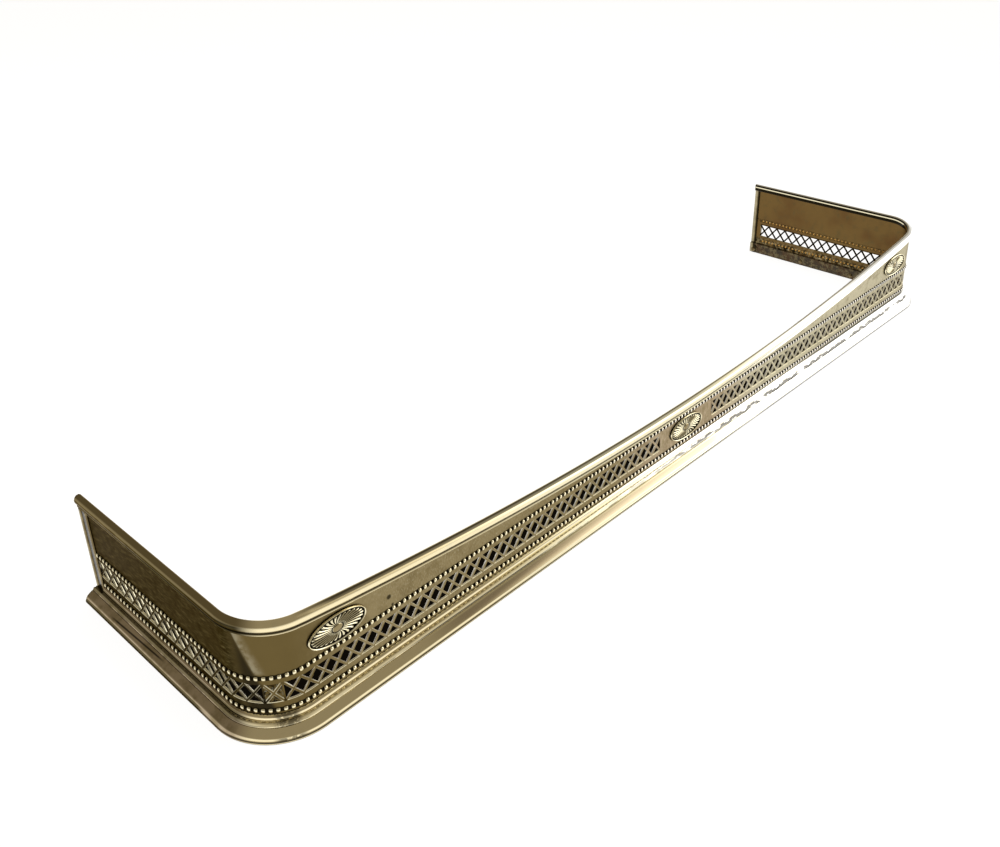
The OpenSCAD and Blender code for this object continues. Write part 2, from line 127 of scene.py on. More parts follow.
class BrassFinish(bpy.types.PropertyGroup):
    """Colours of the brass, where it is bright, plain, aged and dark."""

    polished: colour("Polished", "Bright brass of the rail and the base", (0.90, 0.82, 0.56))
    gleaming: colour("Gleaming", "Brass where the window shines on it", (1.0, 0.97, 0.88))
    near: colour("Near corner", "Sheet of the front by the left corner", (0.14, 0.10, 0.036))
    sheet: colour("Sheet", "Sheet of the front's left half", (0.28, 0.22, 0.11))
    patch: colour("Patch", "Sheet round the middle medallion", (0.50, 0.40, 0.27))
    # Pale also paints highlights down the left corner and on the lattice's bar edges and walls
    pale: colour("Pale", "Sheet of the front's right half", (0.70, 0.65, 0.47))
    # Olive also paints dark reflection low on the rail's outer face and on the base's left return
    olive: colour("Olive", "Clean streaks in the aged sheet", (0.10, 0.082, 0.036))
    # Aged is also the darkest tone of the painted dark reflection on the left return
    aged: colour("Aged", "Sheet of the left return, turned brown", (0.030, 0.023, 0.011))
    inside: colour("Inside", "Inner side of the sheet", (0.165, 0.10, 0.033))
    gilt: colour("Gilt", "Dimples of the inner side, and the warmth of the left end", (1.0, 0.74, 0.34))
    rust: colour("Rust", "Reddish blotches of the inner side and the bar", (0.12, 0.062, 0.022))
    # Dark stands for grime, pits and spots, and also for painted shade and dark reflection in grooves, gaps,
    # slits and hollows
    dark: colour("Dark", "Old dirt in the hollows", (0.012, 0.009, 0.004))
    iron: colour("Iron", "The bar in the foot", (0.07, 0.052, 0.03))


class StagePlan(bpy.types.PropertyGroup):
    """The camera, the light and the floor."""

    camera_place: FloatVectorProperty(
        name="Camera", description="Place of the camera", default=(-0.86669, -0.67738, 0.65968), subtype="XYZ"
    )
    azimuth: angle("Azimuth", "Turn of the view", -45.296)
    elevation: angle("Elevation", "How far it looks down", 31.511)
    roll: angle("Roll", "Roll of the camera", -1.601)
    lens: level("Lens", "Focal length in millimetres", 35.767)
    lamp: level("Lamp", "Power of the soft lamp overhead in watts", 30.0)
    floor_colour: colour("Floor", "Colour of the floor", (0.3, 0.3, 0.3))
    floor_glow: level("Floor glow", "How white the floor is seen", 0.85)
    sky: level("Sky", "Level of the studio's upper half", 0.28)
    window: level("Window", "Level of the bright side, low on the right", 2.0)
    sky_colour: colour("Sky colour", "Tint of the studio's dimmer side", (1.0, 0.90, 0.70))


GROUPS = {
    "fender_shape": FenderShape,
    "fender_gallery": GalleryPattern,
    "fender_medallions": MedallionPlan,
    "fender_brass": BrassFinish,
    "fender_stage": StagePlan,
}


# ---- Working by hand ----


def deselect():
    bpy.ops.object.select_all(action="DESELECT")


def take(piece):
    """Makes a piece the only selected one."""
    deselect()
    piece.select_set(True)
    bpy.context.view_layer.objects.active = piece
    return piece


def named(name):
    piece = bpy.context.view_layer.objects.active
    piece.name = name
    piece.data.name = name
    return piece


def settle(piece):
    """Puts a piece's place and turn into its mesh."""
    take(piece)
    bpy.ops.object.transform_apply(location=True, rotation=True, scale=True)
    return piece


def modify(piece, kind, **settings):
    """Adds a modifier to a piece and applies it."""
    take(piece)
    modifier = piece.modifiers.new(kind.title(), kind)
    for key, value in settings.items():
        setattr(modifier, key, value)
    bpy.ops.object.modifier_apply(modifier=modifier.name)
    return piece


def join(pieces, name):
    deselect()
    for piece in pieces:
        piece.select_set(True)
    bpy.context.view_layer.objects.active = pieces[0]
    if len(pieces) > 1:
        bpy.ops.object.join()
    return named(name)


class Editing:
    """Edit mode on one piece, with everything or nothing selected at the start."""

    def __init__(self, piece, mode="FACE", start="DESELECT"):
        self.piece = piece
        self.mode = mode
        self.start = start

    def __enter__(self):
        take(self.piece)
        bpy.ops.object.mode_set(mode="EDIT")
        bpy.ops.mesh.select_mode(type=self.mode)
        bpy.ops.mesh.select_all(action=self.start)
        return self

    def __exit__(self, *_):
        bpy.ops.object.mode_set(mode="OBJECT")

    def pick_faces(self, test):
        """Selects the faces whose middle passes the test."""
        bpy.ops.object.mode_set(mode="OBJECT")
        for face in self.piece.data.polygons:
            face.select = test(face.center)
        bpy.ops.object.mode_set(mode="EDIT")

    def pick_edges(self, test, among_selected=False):
        """Selects the edges whose two ends pass the test, of all edges or only of the selected ones."""
        bpy.ops.object.mode_set(mode="OBJECT")
        mesh = self.piece.data
        for edge in mesh.edges:
            if edge.select or not among_selected:
                edge.select = test(*(mesh.vertices[i].co for i in edge.vertices))
        bpy.ops.object.mode_set(mode="EDIT")


def merge(piece):
    with Editing(piece, "VERT", "SELECT"):
        bpy.ops.mesh.remove_doubles(threshold=MERGED)
    return piece


def face_outwards(piece):
    with Editing(piece, start="SELECT"):
        bpy.ops.mesh.normals_make_consistent(inside=False)
    return piece


def face_up(piece):
    """Turns an open flat piece so that its outer side is up."""
    face_outwards(piece)
    if sum(face.normal.z * face.area for face in piece.data.polygons) < 0:
        with Editing(piece, start="SELECT"):
            bpy.ops.mesh.flip_normals()
    return piece


def smooth(piece, degrees):
    take(piece)
    bpy.ops.object.shade_smooth_by_angle(angle=math.radians(degrees))
    return piece


def finish_piece(piece, material, node):
    """Gives a piece its finish and its body, and hides the kept part of the node it stands for."""
    piece.data.materials.clear()
    piece.data.materials.append(material)
    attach(piece, BODY)
    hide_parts(node)
    return piece


def drop(thing):
    data = thing.data
    bpy.data.objects.remove(thing)
    kinds = {bpy.types.Curve: bpy.data.curves, bpy.types.Mesh: bpy.data.meshes}
    kinds[type(data)].remove(data)


def cut(piece, cutter):
    modify(piece, "BOOLEAN", object=cutter, operation="DIFFERENCE", solver="EXACT")
    drop(cutter)
    return piece


def new_curve(name, dimensions="3D"):
    curve = bpy.data.curves.new(name, "CURVE")
    curve.dimensions = dimensions
    piece = bpy.data.objects.new(name, curve)
    bpy.context.scene.collection.objects.link(piece)
    return piece


def add_polyline(piece, points):
    line = piece.data.splines.new("POLY")
    line.points.add(len(points) - 1)
    for knot, point in zip(line.points, points):
        knot.co = (*point, 1)
    return line


# ---- The line round the hearth ----

# How far the handles of a quarter circle's curve reach, as a share of its radius
CIRCLE_PULL = 0.5522847


def shape():
    return bpy.context.scene.fender_shape


def corner_middle():
    s = shape()
    return s.foot_half_width - s.corner_radius, -s.foot_front + s.corner_radius


def radius_at(z):
    return shape().corner_radius - math.tan(shape().lean) * z


def half_length_at(z):
    x, y = corner_middle()
    return x + radius_at(z) * math.pi / 2 + shape().rear - y


def line_at(z):
    """A flat curve along the gallery's outer face at height z, from the left rear end to the right one."""
    r = radius_at(z)
    x, y = corner_middle()
    rear = shape().rear
    pull = CIRCLE_PULL * r
    third = (rear - y) / 3
    points = [
        ((-x - r, rear), (-x - r, rear), (-x - r, rear - third)),
        ((-x - r, y), (-x - r, y + third), (-x - r, y - pull)),
        ((-x, y - r), (-x - pull, y - r), (-x / 3, y - r)),
        ((x, y - r), (x / 3, y - r), (x + pull, y - r)),
        ((x + r, y), (x + r, y - pull), (x + r, y + third)),
        ((x + r, rear), (x + r, rear - third), (x + r, rear)),
    ]
    line = new_curve("line")
    line.data.resolution_u = 64
    spline = line.data.splines.new("BEZIER")
    spline.bezier_points.add(len(points) - 1)
    for knot, (place, before, after) in zip(spline.bezier_points, points):
        knot.handle_left_type = knot.handle_right_type = "FREE"
        knot.co = (*place, 0)
        knot.handle_left = (*before, 0)
        knot.handle_right = (*after, 0)
    return line


def strip_place(x, y, z):
    """Where a point lies on the strip: along it from the front's middle, its height, and out of its face."""
    corner_x, corner_y = corner_middle()
    r = radius_at(z)
    side = -1 if x < 0 else 1
    past_x = abs(x) - corner_x
    if past_x <= 0:
        return x, z, corner_y - r - y
    if y >= corner_y:
        return side * (corner_x + r * math.pi / 2 + y - corner_y), z, past_x - r
    turn = math.atan2(past_x, corner_y - y)
    return side * (corner_x + r * turn), z, math.hypot(past_x, corner_y - y) - r


def rail_line_x(along):
    """How far to the side of the fender's middle the rail's line lies, that far along it."""
    x = corner_middle()[0]
    r = radius_at(shape().height)
    turn = max(0.0, min(math.pi / 2, (abs(along) - x) / r))
    return min(abs(along), x) + r * math.sin(turn)


def mark_strip(piece, from_rail_top=False):
    """Keeps each point's place on the strip for the finishes. A rail's heights count down from its top."""
    places = []
    for vertex in piece.data.vertices:
        along, height, out = strip_place(*vertex.co)
        if from_rail_top:
            height -= rail_top_at(rail_line_x(along))
        places += (along, height, out)
    mark = piece.data.attributes.new("strip", "FLOAT_VECTOR", "POINT")
    mark.data.foreach_set("vector", places)
    return piece


def chart(piece, spot=None):
    """Charts a flat piece anew, in millimetres from its own middle, or all on one spot."""
    mesh = piece.data
    while mesh.uv_layers:
        mesh.uv_layers.remove(mesh.uv_layers[0])
    layer = mesh.uv_layers.new(name="cell")
    for corner in mesh.loops:
        place = mesh.vertices[corner.vertex_index].co
        layer.data[corner.index].uv = spot or (place.x / MM, place.y / MM)
    return piece


def stand_up(piece, x, y, z):
    """Turns a flat piece upright with the gallery's lean, its own middle at that place."""
    piece.rotation_euler = (math.pi / 2 - shape().lean, 0, 0)
    piece.location = (x, y, z)
    return settle(piece)


def bend_round(piece, z):
    """Bends a flat strip round the hearth. Its X runs from the fender's middle, its Y up and its Z out."""
    stand_up(piece, half_length_at(z), 0, z)
    line = line_at(z)
    modify(piece, "CURVE", object=line, deform_axis="POS_X")
    drop(line)
    return piece


def dip_arc():
    """How far from the middle the rail's dip ends, and the radius of its arc."""
    s = shape()
    end = s.foot_half_width - math.tan(s.lean) * s.height - gallery().sheet
    return end, (end * end + s.rail_dip * s.rail_dip) / (2 * s.rail_dip)


def rail_top_at(x):
    """Height of the rail's top over a point that far from the middle."""
    end, r = dip_arc()
    if abs(x) >= end:
        return shape().height
    return shape().height - shape().rail_dip + r - math.sqrt(r * r - x * x)


def sweep(name, places, section):
    """Carries a closed section along a line of places. The section's x points out and its y up."""
    outline = new_curve("section", "2D")
    add_polyline(outline, [(x, y, 0) for x, y in section]).use_cyclic_u = True
    piece = new_curve(name)
    add_polyline(piece, places)
    curve = piece.data
    curve.twist_mode = "Z_UP"
    curve.bevel_mode = "OBJECT"
    curve.bevel_object = outline
    curve.use_fill_caps = True
    take(piece)
    bpy.ops.object.convert(target="MESH")
    drop(outline)
    return face_outwards(merge(named(name)))


# ---- Gallery ----


# The spot of the chart, in millimetres, that holds all the plain sheet, far from the beads and the openings
PLAIN_SPOT = (60, 60)
# How far the charts of the inner side are moved along X from those of the outer side
INNER_CHART = 200
# Length of one face of a plain strip
PLAIN_STEP = 4.0 * MM
# A bead's two steps, each with its share of the rise and how much it narrows, and the share left for its tip
BEAD_STEPS = ((0.42, 0.93), (0.4, 0.68))
BEAD_TIP = 0.18
# Height of a band of the sheet with a row of beads, and how far the lattice's band goes past its openings
BEAD_BAND = 6.0 * MM
LATTICE_EDGE = 0.8 * MM
# How far in and how deep the outlines of a blind cell are pressed
BLIND_INSET = 0.3 * MM
BLIND_DEPTH = 0.35 * MM
# An edge this close to a seam between two runs, or to the strip's own edge, isn't worn round
BY_SEAM = 0.02 * MM
BY_EDGE = 0.01 * MM
# How far the sheet ends under the rail's top
UNDER_RAIL = 1.5 * MM


def gallery():
    return bpy.context.scene.fender_gallery


def plain_strip(start, end, tall):
    """A flat plain strip between two places along the fender."""
    columns = max(1, round((end - start) / PLAIN_STEP))
    bpy.ops.mesh.primitive_grid_add(x_subdivisions=columns, y_subdivisions=1, size=1)
    strip = named("strip")
    strip.scale = (end - start, tall, 1)
    strip.location = ((start + end) / 2, 0, 0)
    return chart(settle(strip), PLAIN_SPOT)


def thicken(piece, depth=None):
    """Gives a flat piece its thickness and moves the charts of its inner side aside."""
    modify(piece, "SOLIDIFY", thickness=depth or gallery().sheet, offset=-1, use_even_offset=True)
    layer = piece.data.uv_layers["cell"].data
    for face in piece.data.polygons:
        if face.normal.z < -0.05:
            for corner in face.loop_indices:
                layer[corner].uv.x += INNER_CHART
    return piece


def bead_cell():
    """One bead in the middle of its square of sheet."""
    g = gallery()
    bpy.ops.mesh.primitive_circle_add(vertices=12, radius=g.bead_width / 2, fill_type="NGON")
    cell = named("bead")
    with Editing(cell, start="SELECT"):
        for rise, scale in BEAD_STEPS:
            bpy.ops.mesh.extrude_region_move(TRANSFORM_OT_translate={"value": (0, 0, rise * g.bead_rise)})
            bpy.ops.transform.resize(value=(scale, scale, 1))
        bpy.ops.mesh.poke(offset=BEAD_TIP * g.bead_rise)
        bpy.ops.mesh.select_all(action="DESELECT")
        bpy.ops.mesh.select_mode(type="EDGE")
        bpy.ops.mesh.primitive_circle_add(vertices=4, radius=math.sqrt(0.5), rotation=(0, 0, math.pi / 4))
        bpy.ops.transform.resize(value=(g.bead_pitch, BEAD_BAND, 1))
        bpy.ops.mesh.subdivide(number_cuts=2)
    with Editing(cell, "EDGE") as hand:
        hand.pick_edges(lambda a, b: max(a.z, b.z) < MERGED)
        bpy.ops.mesh.bridge_edge_loops()
    return chart(face_up(cell))


def repeat(piece, step, count):
    return modify(
        piece, "ARRAY", count=count, use_relative_offset=False, use_constant_offset=True,
        constant_offset_displace=(step, 0, 0), use_merge_vertices=True, merge_threshold=MERGED,
    )


def bead_strip(z):
    """A strip of sheet with one row of beads, its middle at height z."""
    g = gallery()
    half = half_length_at(z)
    steps = math.floor((half - g.bead_end) / g.bead_pitch)
    row = bead_cell()
    row.location = (-steps * g.bead_pitch, 0, 0)
    settle(row)
    repeat(row, g.bead_pitch, 2 * steps + 1)
    edge = (steps + 0.5) * g.bead_pitch
    ends = [
        plain_strip(-half + g.rear_gap, -edge, BEAD_BAND),
        plain_strip(edge, half - g.rear_gap, BEAD_BAND),
    ]
    strip = thicken(join([row] + ends, "bead_strip"))
    return bend_round(strip, z)


def lattice_cell(height, blind):
    """One cell: two bars that cross, with openings between them, or only their outlines where it is blind."""
    g = gallery()
    bpy.ops.mesh.primitive_plane_add(size=1)
    cell = named("cell")
    cell.scale = (g.lattice_pitch, height, 1)
    settle(cell)
    up = Vector((g.lattice_pitch, g.lattice_height, 0)).normalized()
    across = (Vector((up.y, -up.x, 0)), Vector((up.y, up.x, 0)))
    half_bar = g.lattice_bar / 2
    cuts = [(n * side * half_bar, n) for n in across for side in (-1, 1)]
    cuts += [(Vector((0, side * g.lattice_height / 2, 0)), Vector((0, 1, 0))) for side in (-1, 1)]
    cuts += [(Vector((x * g.lattice_pitch, 0, 0)), Vector((1, 0, 0))) for x in (-0.25, 0, 0.25)]
    with Editing(cell):
        for place, normal in cuts:
            bpy.ops.mesh.select_all(action="SELECT")
            bpy.ops.mesh.bisect(plane_co=place, plane_no=normal)

    def is_opening(middle):
        clear = all(abs(middle.dot(n)) > half_bar for n in across)
        return clear and abs(middle.y) < g.lattice_height / 2

    with Editing(cell) as hand:
        hand.pick_faces(is_opening)
        if blind:
            bpy.ops.mesh.inset(thickness=BLIND_INSET, depth=-BLIND_DEPTH)
        else:
            bpy.ops.mesh.delete(type="FACE")
    return chart(face_up(cell))


def cell_run(side, start, count, height, blind=False):
    """A run of cells that starts that far from the fender's middle, and the places of its two ends."""
    pitch = gallery().lattice_pitch
    ends = sorted((side * start, side * (start + count * pitch)))
    cell = lattice_cell(height, blind)
    cell.location = (ends[0] + pitch / 2, 0, 0)
    return repeat(settle(cell), pitch, count), ends


def lattice_strip(height):
    """The pierced band: cells along the front and the returns, and one blind cell in each corner."""
    g = gallery()
    z = g.lattice_middle
    pitch = g.lattice_pitch
    half = half_length_at(z)
    straight = corner_middle()[0]
    corner = radius_at(z) * math.pi / 2
    return_end = half - g.lattice_end
    return_count = math.floor((return_end - straight - corner / 2) / pitch)
    return_start = return_end - return_count * pitch
    runs = []
    for side in (-1, 1):
        start = g.patch / 2 - side * g.patch_shift
        count = math.floor((straight + corner / 3 - start) / pitch)
        blind_start = (start + count * pitch + return_start - pitch) / 2
        runs.append(cell_run(side, start, count, height))
        runs.append(cell_run(side, blind_start, 1, height, blind=True))
        runs.append(cell_run(side, return_start, return_count, height))
    runs.sort(key=lambda run: run[1][0])
    pieces = [thicken(merge(run), g.lattice_depth) for run, ends in runs]
    edge = -half + g.rear_gap
    seams = [edge]
    for run, (low, high) in runs:
        pieces.append(thicken(plain_strip(edge, low, height)))
        seams += (low, high)
        edge = high
    seams.append(half - g.rear_gap)
    pieces.append(thicken(plain_strip(edge, seams[-1], height)))
    strip = join(pieces, "lattice_strip")

    def is_inside(a, b):
        """Whether an edge lies neither on a seam nor on the strip's own outline."""
        on_seam = any(max(abs(a.x - x), abs(b.x - x)) < BY_SEAM for x in seams)
        return not on_seam and max(abs(a.y), abs(b.y)) <= height / 2 - BY_EDGE

    with Editing(strip, "EDGE") as hand:
        bpy.ops.mesh.edges_select_sharp(sharpness=math.radians(60))
        hand.pick_edges(is_inside, among_selected=True)
        bpy.ops.mesh.bevel(offset=g.worn_edge, segments=1, affect="EDGES")
    return bend_round(strip, z)


def plain_band(low, high):
    """A plain band of the sheet right round the fender between two heights."""
    g = gallery()
    middle = (low + high) / 2
    half = half_length_at(middle) - g.rear_gap
    tall = (high - low) / math.cos(shape().lean)
    return bend_round(thicken(plain_strip(-half, half, tall)), middle)


def cut_dip(piece):
    """Cuts the top of the front along the rail's dip."""
    r = dip_arc()[1]
    x, y = corner_middle()
    bpy.ops.mesh.primitive_cylinder_add(
        vertices=2048, radius=r, depth=x, rotation=(math.pi / 2, 0, 0),
        location=(0, y - x / 2 + 2 * MM, rail_top_at(0) - UNDER_RAIL + r),
    )
    return cut(piece, chart(settle(named("cutter")), PLAIN_SPOT))


class FENDER_OT_gallery(bpy.types.Operator):
    """Makes the pierced and beaded gallery from one strip of sheet"""

    bl_idname = "fender.gallery"
    bl_label = "Gallery"

    def execute(self, context):
        g = gallery()
        lattice_band = g.lattice_height + 2 * LATTICE_EDGE
        bands = ((g.bead_low, BEAD_BAND), (g.lattice_middle, lattice_band), (g.bead_high, BEAD_BAND))
        lower, middle, upper = ((z - band / 2, z + band / 2) for z, band in bands)
        strips = [
            plain_band(g.foot, lower[0]),
            bead_strip(g.bead_low),
            plain_band(lower[1], middle[0]),
            lattice_strip(lattice_band),
            plain_band(middle[1], upper[0]),
            bead_strip(g.bead_high),
            cut_dip(plain_band(upper[1], shape().height - UNDER_RAIL)),
        ]
        sheet = mark_strip(smooth(join(strips, "gallery"), 50))
        finish_piece(sheet, finish("aged_sheet"), "gallery_panel")
        return {"FINISHED"}


# ---- Top rail and base moulding ----


# Thickness of the plates that close the mouldings' rear ends
REAR_PLATE = 0.8 * MM
# How many steps the mouldings' lines take along the front and round a corner
FRONT_STEPS = 160
RAIL_TURN_STEPS = 32
BASE_TURN_STEPS = 40
# Length of the end posts' notch in the base moulding, and the height of its floor
POST_ROOM = 16.9 * MM
POST_FLOOR = 12.2 * MM


def round_line(z, steps, front=()):
    """Places from the left rear end round both corners to the right one, at height z."""
    x, y = corner_middle()
    r = radius_at(z)
    turns = [math.pi / 2 * k / steps for k in range(steps + 1)]
    half = [(x + r, shape().rear - REAR_PLATE)]
    half += [(x + r * math.cos(turn), y - r * math.sin(turn)) for turn in turns]
    return [(-px, py) for px, py in half] + list(front) + half[::-1]


# The sections of the mouldings: millimetres out of the gallery's face, and up
RAIL_SECTION = [
    (0.15, -13.2), (0.8, -13.2), (1.35, -13.05), (1.75, -12.5), (1.85, -11.9), (1.65, -11.2), (1.15, -10.8),
    (0.95, -10.4), (1.15, -10.0), (1.9, -9.3), (2.7, -8.2), (3.2, -6.9), (3.35, -5.6), (3.15, -4.3),
    (2.6, -3.0), (1.75, -1.9), (0.75, -1.0), (-0.3, -0.35), (-1.4, -0.03), (-2.5, -0.05), (-3.5, -0.5),
    (-4.25, -1.3), (-4.6, -2.4), (-4.6, -5.0), (-4.6, -8.4), (-4.4, -9.4), (-3.9, -10.2), (-3.1, -10.7),
    (-2.0, -10.82), (-0.95, -10.82), (-0.95, -9.95), (-2.6, -9.8), (-3.4, -9.3), (-3.7, -8.4), (-3.7, -3.0),
    (-3.2, -1.9), (-2.2, -1.1), (-1.0, -1.1), (0.2, -1.6), (1.4, -2.9), (2.2, -4.4), (2.35, -5.7),
    (2.0, -7.2), (1.0, -8.7), (0.15, -9.6),
]

BASE_SECTION = [
    (15.5, 0.0), (15.5, 0.9), (15.42, 1.5), (15.1, 2.1), (14.6, 2.6), (14.25, 3.1), (14.15, 3.7),
    (13.9, 4.5), (13.3, 5.4), (12.2, 6.4), (10.9, 7.3), (9.5, 8.15), (8.1, 8.95), (6.9, 9.6), (6.35, 9.75),
    (6.0, 9.45), (5.95, 9.8), (5.85, 10.2), (5.4, 11.0), (4.9, 11.85), (4.4, 12.7), (4.1, 13.15),
    (3.7, 13.4), (3.0, 13.45), (2.1, 13.45), (1.85, 13.65), (1.9, 14.1), (1.85, 15.2), (1.55, 16.5),
    (1.0, 17.5), (0.2, 18.3), (-0.71, 18.6), (-0.7, 17.9), (0.1, 17.2), (0.75, 16.2), (1.05, 15.0),
    (1.05, 14.0), (0.75, 13.2), (0.45, 12.4), (0.6, 11.6), (3.0, 10.4), (4.9, 9.5), (5.6, 8.8), (6.4, 8.95),
    (9.0, 7.5), (11.6, 5.8), (13.1, 4.1), (13.5, 3.0), (14.5, 1.6), (14.7, 0.8), (0.86, 0.8), (0.46, 10.0),
    (-0.34, 10.0), (0.1, 0.0),
]


class FENDER_OT_rail(bpy.types.Operator):
    """Makes the rolled top rail with its dip along the front"""

    bl_idname = "fender.rail"
    bl_label = "Top rail"

    def execute(self, context):
        s = shape()
        slope = math.tan(s.lean)
        x = corner_middle()[0]
        front = [(x * (2 * k / FRONT_STEPS - 1), 0) for k in range(1, FRONT_STEPS)]
        places = []
        for px, py in round_line(s.height, RAIL_TURN_STEPS, front):
            top = rail_top_at(px)
            if abs(px) < x:
                py = slope * top - s.foot_front
            places.append((px, py, top))
        section = [(o * MM - slope * h * MM, h * MM) for o, h in RAIL_SECTION]
        rail = mark_strip(smooth(sweep("rail", places, section), 40), from_rail_top=True)
        finish_piece(rail, finish("rail_brass"), "top_rail")
        shade_left_return(rail, "dull_rail")
        return {"FINISHED"}


class FENDER_OT_base(bpy.types.Operator):
    """Makes the hollow base moulding, cut back where the end posts stand on it"""

    bl_idname = "fender.base"
    bl_label = "Base moulding"

    def execute(self, context):
        s = shape()
        places = [(x, y, 0) for x, y in round_line(0, BASE_TURN_STEPS)]
        base = sweep("base", places, [(o * MM, h * MM) for o, h in BASE_SECTION])
        past = 4 * MM
        wide, tall = 8 * MM, 20 * MM
        for side in (-1, 1):
            bpy.ops.mesh.primitive_cube_add(size=1, location=(
                side * s.foot_half_width, s.rear + (past - POST_ROOM) / 2, POST_FLOOR + tall / 2,
            ))
            cutter = named("cutter")
            cutter.scale = (wide, POST_ROOM + past, tall)
            cut(base, settle(cutter))
        finish_piece(mark_strip(smooth(base, 40)), finish("base_brass"), "base_moulding")
        shade_left_return(base, "dull_base")
        return {"FINISHED"}


# ---- Medallions ----

# One ring of an oval: its radius on the round blank, its half width and half height in millimetres, its
# height over the gallery, how deep the flutes lie there, how dark it is painted (shade round its foot and the
# boss, grime and shade in the rim's groove, and -1 for the boss's duller tone), and their turn in degrees
Ring = namedtuple("Ring", "radius half_width half_height lift sink dirt turn")
OVAL_RINGS = [
    Ring(1.00, 31.0, 14.5, 0.0, 0.0, 0.9, 0),
    Ring(0.98, 30.9, 14.4, 0.9, 0.0, 0.6, 0),
    Ring(0.96, 30.6, 14.1, 2.0, 0.0, 0.0, 0),
    Ring(0.94, 30.2, 13.7, 2.6, 0.0, 0.0, 0),
    Ring(0.92, 29.7, 13.2, 2.5, 0.0, 0.0, 0),
    Ring(0.90, 29.3, 12.8, 1.7, 0.0, 0.6, 0),
    Ring(0.88, 28.9, 12.4, 0.8, 0.0, 1.0, 0),
    Ring(0.86, 28.3, 11.8, 1.2, 0.0, 0.9, 0),
    Ring(0.82, 27.2, 10.9, 2.3, 1.4, 0.0, 1),
    Ring(0.74, 23.5, 9.5, 2.5, 1.7, 0.0, 3),
    Ring(0.58, 17.5, 7.8, 2.4, 1.5, 0.0, 6),
    Ring(0.42, 11.8, 6.1, 2.2, 1.1, 0.0, 9),
    Ring(0.30, 7.8, 4.9, 2.0, 0.6, 0.0, 12),
    Ring(0.22, 5.3, 3.9, 1.5, 0.0, 0.8, 13),
    Ring(0.19, 4.9, 3.5, 2.0, 0.0, -1.0, 13),
    Ring(0.12, 2.9, 2.2, 2.5, 0.0, -1.0, 13),
]
# Height of the boss's middle over the gallery, and the number of points round one flute
BOSS_LIFT = 2.7
FLUTE_SIDES = 6
# How narrow a flute's floor is, how far the flutes are pushed from the oval's tips in radians, and how much
# grime and painted shade lies in a flute for each millimetre of its depth
FLUTE_NARROWING = 1.2
FLUTE_PUSH = 0.13
FLUTE_DIRT_AND_SHADE = 1.6


def oval_blank(flutes):
    """A round blank, one metre in radius, with a ring for each step of the oval."""
    bpy.ops.mesh.primitive_circle_add(vertices=FLUTE_SIDES * flutes, radius=1, fill_type="NGON")
    blank = named("medallion")
    with Editing(blank, start="SELECT"):
        for outer, inner in zip(OVAL_RINGS, OVAL_RINGS[1:]):
            share = inner.radius / outer.radius
            bpy.ops.mesh.extrude_region_move(TRANSFORM_OT_translate={"value": (0, 0, 0)})
            bpy.ops.transform.resize(value=(share, share, 1), center_override=(0, 0, 0))
        bpy.ops.mesh.poke()
    return blank


def press_oval(blank, flutes):
    """Presses the blank: each ring takes its oval and height, and the flutes sink between their crests."""
    step = 2 * math.pi / (FLUTE_SIDES * flutes)
    dirt = []
    for vertex in blank.data.vertices:
        radius = math.hypot(vertex.co.x, vertex.co.y)
        if radius < OVAL_RINGS[-1].radius / 2:
            vertex.co = (0, 0, BOSS_LIFT * MM)
            dirt.append(-1.0)
            continue
        ring = min(OVAL_RINGS, key=lambda one: abs(one.radius - radius))
        turn = math.atan2(vertex.co.y, vertex.co.x)
        phase = round(turn / step) % FLUTE_SIDES / FLUTE_SIDES
        low = (0.5 - 0.5 * math.cos(2 * math.pi * phase)) ** FLUTE_NARROWING
        turn += math.radians(ring.turn)
        turn += FLUTE_PUSH * math.sin(2 * turn)
        vertex.co = (
            ring.half_width * math.cos(turn) * MM,
            ring.half_height * math.sin(turn) * MM,
            (ring.lift - ring.sink * low) * MM,
        )
        # The dark painted on each point: the ring's own shade, or grime and painted shade in the flutes
        dirt.append(ring.dirt or min(1.0, FLUTE_DIRT_AND_SHADE * ring.sink) * low)
    mark = blank.data.attributes.new("dirt", "FLOAT", "POINT")
    mark.data.foreach_set("value", dirt)
    return face_outwards(blank)


class FENDER_OT_medallions(bpy.types.Operator):
    """Makes the three fluted ovals"""

    bl_idname = "fender.medallions"
    bl_label = "Medallions"

    def execute(self, context):
        m = context.scene.fender_medallions
        s = shape()
        oval = smooth(press_oval(oval_blank(m.flutes), m.flutes), 60)
        places = (
            ("left_oval", -m.outer_place, m.outer_height, "left_medallion"),
            ("middle_oval", -m.shift, gallery().lattice_middle, "middle_medallion"),
            ("right_oval", m.outer_place, m.outer_height, "right_medallion"),
        )
        for name, x, z, node in places:
            take(oval)
            bpy.ops.object.duplicate()
            copy = stand_up(named(name), x, math.tan(s.lean) * z - s.foot_front, z)
            finish_piece(copy, finish("oval_brass"), node)
        drop(oval)
        return {"FINISHED"}


# ---- Finishes ----

# The tints of bright and of dull brass when they are seen at a flat angle; the dull tint also darkens the
# mouldings' left return as a painted dark reflection
BRIGHT_EDGE = (1, 1, 1)
DULL_EDGE = (0.5, 0.46, 0.42)
# Where the front's tones turn into the left return's, in millimetres along the strip from the front's middle
SHEET_TURN = (-606, -622)
RAIL_TURN = (-584, -606)
BASE_TURN = (-604, -624)
# The dark spots on the front: place along the strip, height and size in millimetres
SPOTS = ((-463, 73, 2.4), (-460, 63, 1.4))


def brass():
    return bpy.context.scene.fender_brass


